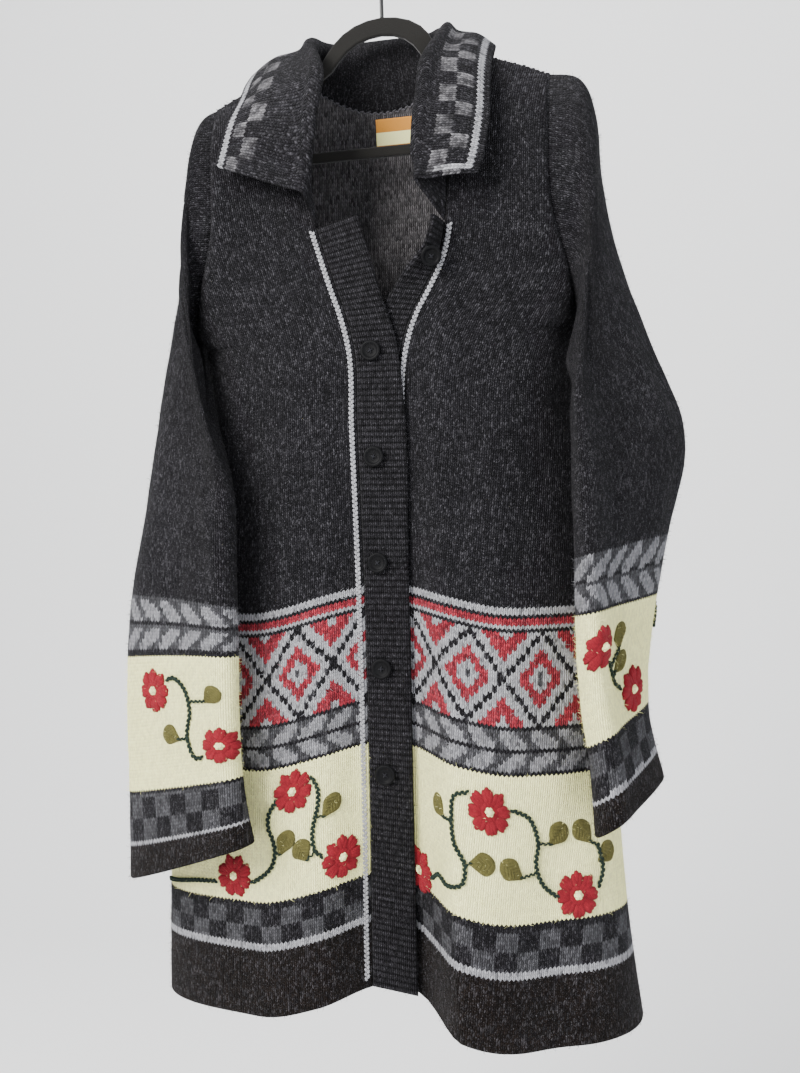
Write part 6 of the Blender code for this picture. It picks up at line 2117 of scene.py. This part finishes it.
class JACKET_PG_colours(bpy.types.PropertyGroup):
    charcoal: tint("Charcoal", "Main dark wool", (0.0105, 0.01, 0.012))
    hem: tint("Hem", "Brownish wool of the hem and cuffs", (0.0085, 0.0058, 0.0045))
    band: tint("Band", "Wool of the button bands", (0.02, 0.019, 0.022))
    inside: tint("Inside", "Wool on the garment's inside", (0.11, 0.104, 0.108))
    light: tint("Light grey", "Light lines and diamonds", (0.33, 0.33, 0.35))
    leaf: tint("Leaf grey", "Knitted leaves", (0.235, 0.235, 0.252))
    middle: tint("Middle grey", "Ground of the checks and leaves", (0.064, 0.064, 0.07))
    cream: tint("Cream", "Ground of the flower border", (0.97, 0.95, 0.46))
    red: tint("Red", "Knitted diamonds and line", (0.32, 0.03, 0.045))
    flower: tint("Flower red", "Crocheted flowers", (0.22, 0.014, 0.022))
    olive: tint("Olive", "Crocheted leaves", (0.105, 0.096, 0.031))
    vine: tint("Vine", "Crocheted vines", (0.016, 0.028, 0.021))
    fleck: tint("Fleck", "Light flecks in the wool", (0.098, 0.095, 0.106))
    check: tint("Collar checks", "Checks on the collar", (0.185, 0.18, 0.19))
    seam: tint("Sewing yarn", "Seams and button thread", (0.02, 0.02, 0.024))
    button: tint("Buttons", "Dark horn of the buttons", (0.0035, 0.0035, 0.004))
    label: tint("Label", "Woven label", (0.62, 0.27, 0.05))
    tag: tint("Size tag", "Woven size tag", (0.42, 0.26, 0.16))
    flock: tint("Flock", "Flocked hanger", (0.012, 0.0115, 0.0105))
    wire: tint("Wire", "Hanger's hook", (0.05, 0.05, 0.05))
    backdrop: tint("Backdrop", "Paper behind and below", (0.81, 0.81, 0.81))


def settings(context):
    """The jacket's sizes and colours, as the panel shows them."""
    return context.scene.jacket_sizes, context.scene.jacket_colours


class JACKET_OT_stage(bpy.types.Operator):
    """Adds the camera, the pale backdrop and the studio lights"""

    bl_idname = "jacket.stage"
    bl_label = "Stage"
    bl_options = {"REGISTER", "UNDO"}

    def execute(self, context):
        colours = context.scene.jacket_colours
        build_stage(colours)
        return {"FINISHED"}


class JACKET_OT_back(bpy.types.Operator):
    """Adds the knit back"""

    bl_idname = "jacket.back"
    bl_label = "Back"
    bl_options = {"REGISTER", "UNDO"}

    def execute(self, context):
        sizes, colours = settings(context)
        obj = build_panel("back", sizes, colours)
        return {"FINISHED"}


class JACKET_OT_fronts(bpy.types.Operator):
    """Adds the two knit fronts"""

    bl_idname = "jacket.fronts"
    bl_label = "Fronts"
    bl_options = {"REGISTER", "UNDO"}

    def execute(self, context):
        sizes, colours = settings(context)
        for name in ("front_right", "front_left"):
            obj = build_panel(name, sizes, colours)
        return {"FINISHED"}


class JACKET_OT_sleeves(bpy.types.Operator):
    """Adds the two knit sleeves"""

    bl_idname = "jacket.sleeves"
    bl_label = "Sleeves"
    bl_options = {"REGISTER", "UNDO"}

    def execute(self, context):
        sizes, colours = settings(context)
        for name in ("sleeve_right", "sleeve_left"):
            obj = build_panel(name, sizes, colours)
        return {"FINISHED"}


class JACKET_OT_collar(bpy.types.Operator):
    """Adds the turned-down collar"""

    bl_idname = "jacket.collar"
    bl_label = "Collar"
    bl_options = {"REGISTER", "UNDO"}

    def execute(self, context):
        sizes, colours = settings(context)
        obj = build_collar(sizes, colours)
        return {"FINISHED"}


class JACKET_OT_bands(bpy.types.Operator):
    """Adds the two ribbed button bands"""

    bl_idname = "jacket.bands"
    bl_label = "Button bands"
    bl_options = {"REGISTER", "UNDO"}

    def execute(self, context):
        sizes, colours = settings(context)
        for side in (RIGHT, LEFT):
            obj = build_band(side, sizes, colours)
            "band_" + hand(side)
        return {"FINISHED"}


class JACKET_OT_nap(bpy.types.Operator):
    """Adds the wool's loose hairs on every knit piece"""

    bl_idname = "jacket.nap"
    bl_label = "Wool nap"
    bl_options = {"REGISTER", "UNDO"}

    def execute(self, context):
        sizes = context.scene.jacket_sizes
        for seed, (name, count) in enumerate(NAP_COUNTS.items()):
            add_nap(bpy.data.objects[name + "_cloth"], count, seed + 1, sizes)
        return {"FINISHED"}


class JACKET_OT_crochet(bpy.types.Operator):
    """Adds the crocheted flowers, leaves and vines"""

    bl_idname = "jacket.crochet"
    bl_label = "Crochet"
    bl_options = {"REGISTER", "UNDO"}

    def execute(self, context):
        colours = context.scene.jacket_colours
        build_vines(colours)
        build_leaves(colours)
        build_flowers(context.scene.jacket_sizes, colours)
        return {"FINISHED"}


class JACKET_OT_trims(bpy.types.Operator):
    """Adds the light edge cords and the seams' stitches"""

    bl_idname = "jacket.trims"
    bl_label = "Cords and seams"
    bl_options = {"REGISTER", "UNDO"}

    def execute(self, context):
        colours = context.scene.jacket_colours
        build_cords(colours)
        build_seams(colours)
        return {"FINISHED"}


class JACKET_OT_buttons(bpy.types.Operator):
    """Adds the six turned buttons with their thread"""

    bl_idname = "jacket.buttons"
    bl_label = "Buttons"
    bl_options = {"REGISTER", "UNDO"}

    def execute(self, context):
        colours = context.scene.jacket_colours
        build_buttons(colours)
        return {"FINISHED"}


class JACKET_OT_labels(bpy.types.Operator):
    """Adds the bare woven label and size tag inside the neck"""

    bl_idname = "jacket.labels"
    bl_label = "Labels"
    bl_options = {"REGISTER", "UNDO"}

    def execute(self, context):
        colours = context.scene.jacket_colours
        build_labels(colours)
        return {"FINISHED"}


class JACKET_OT_hanger(bpy.types.Operator):
    """Gives the hanger its flock and its hook its dark finish"""

    bl_idname = "jacket.hanger"
    bl_label = "Hanger finish"
    bl_options = {"REGISTER", "UNDO"}

    def execute(self, context):
        colours = context.scene.jacket_colours
        finish_hanger(colours)
        return {"FINISHED"}


OPERATORS = (
    JACKET_OT_stage, JACKET_OT_back, JACKET_OT_fronts, JACKET_OT_sleeves, JACKET_OT_collar,
    JACKET_OT_bands, JACKET_OT_nap, JACKET_OT_crochet, JACKET_OT_trims, JACKET_OT_buttons,
    JACKET_OT_labels, JACKET_OT_hanger,
)


class JACKET_PT_panel(bpy.types.Panel):
    """Lists the jacket's pieces, its sizes and its colours"""

    bl_label = "Knit jacket"
    bl_idname = "JACKET_PT_panel"
    bl_space_type = "VIEW_3D"
    bl_region_type = "UI"
    bl_category = "Jacket"

    def draw(self, context):
        for operator in OPERATORS:
            self.layout.operator(operator.bl_idname)
        for group in (context.scene.jacket_sizes, context.scene.jacket_colours):
            for name in type(group).__annotations__:
                self.layout.prop(group, name)


CLASSES = (JACKET_PG_sizes, JACKET_PG_colours, *OPERATORS, JACKET_PT_panel)


def register():
    for one in CLASSES:
        bpy.utils.register_class(one)
    bpy.types.Scene.jacket_sizes = bpy.props.PointerProperty(type=JACKET_PG_sizes)
    bpy.types.Scene.jacket_colours = bpy.props.PointerProperty(type=JACKET_PG_colours)


def unregister():
    del bpy.types.Scene.jacket_colours
    del bpy.types.Scene.jacket_sizes
    for one in reversed(CLASSES):
        bpy.utils.unregister_class(one)


def main():
    register()
    bpy.ops.jacket.stage()
    bpy.ops.jacket.back()
    bpy.ops.jacket.fronts()
    bpy.ops.jacket.sleeves()
    bpy.ops.jacket.collar()
    bpy.ops.jacket.bands()
    bpy.ops.jacket.nap()
    bpy.ops.jacket.crochet()
    bpy.ops.jacket.trims()
    bpy.ops.jacket.buttons()
    bpy.ops.jacket.labels()
    bpy.ops.jacket.hanger()
    bpy.context.view_layer.update()


if __name__ == "__main__":
    main()
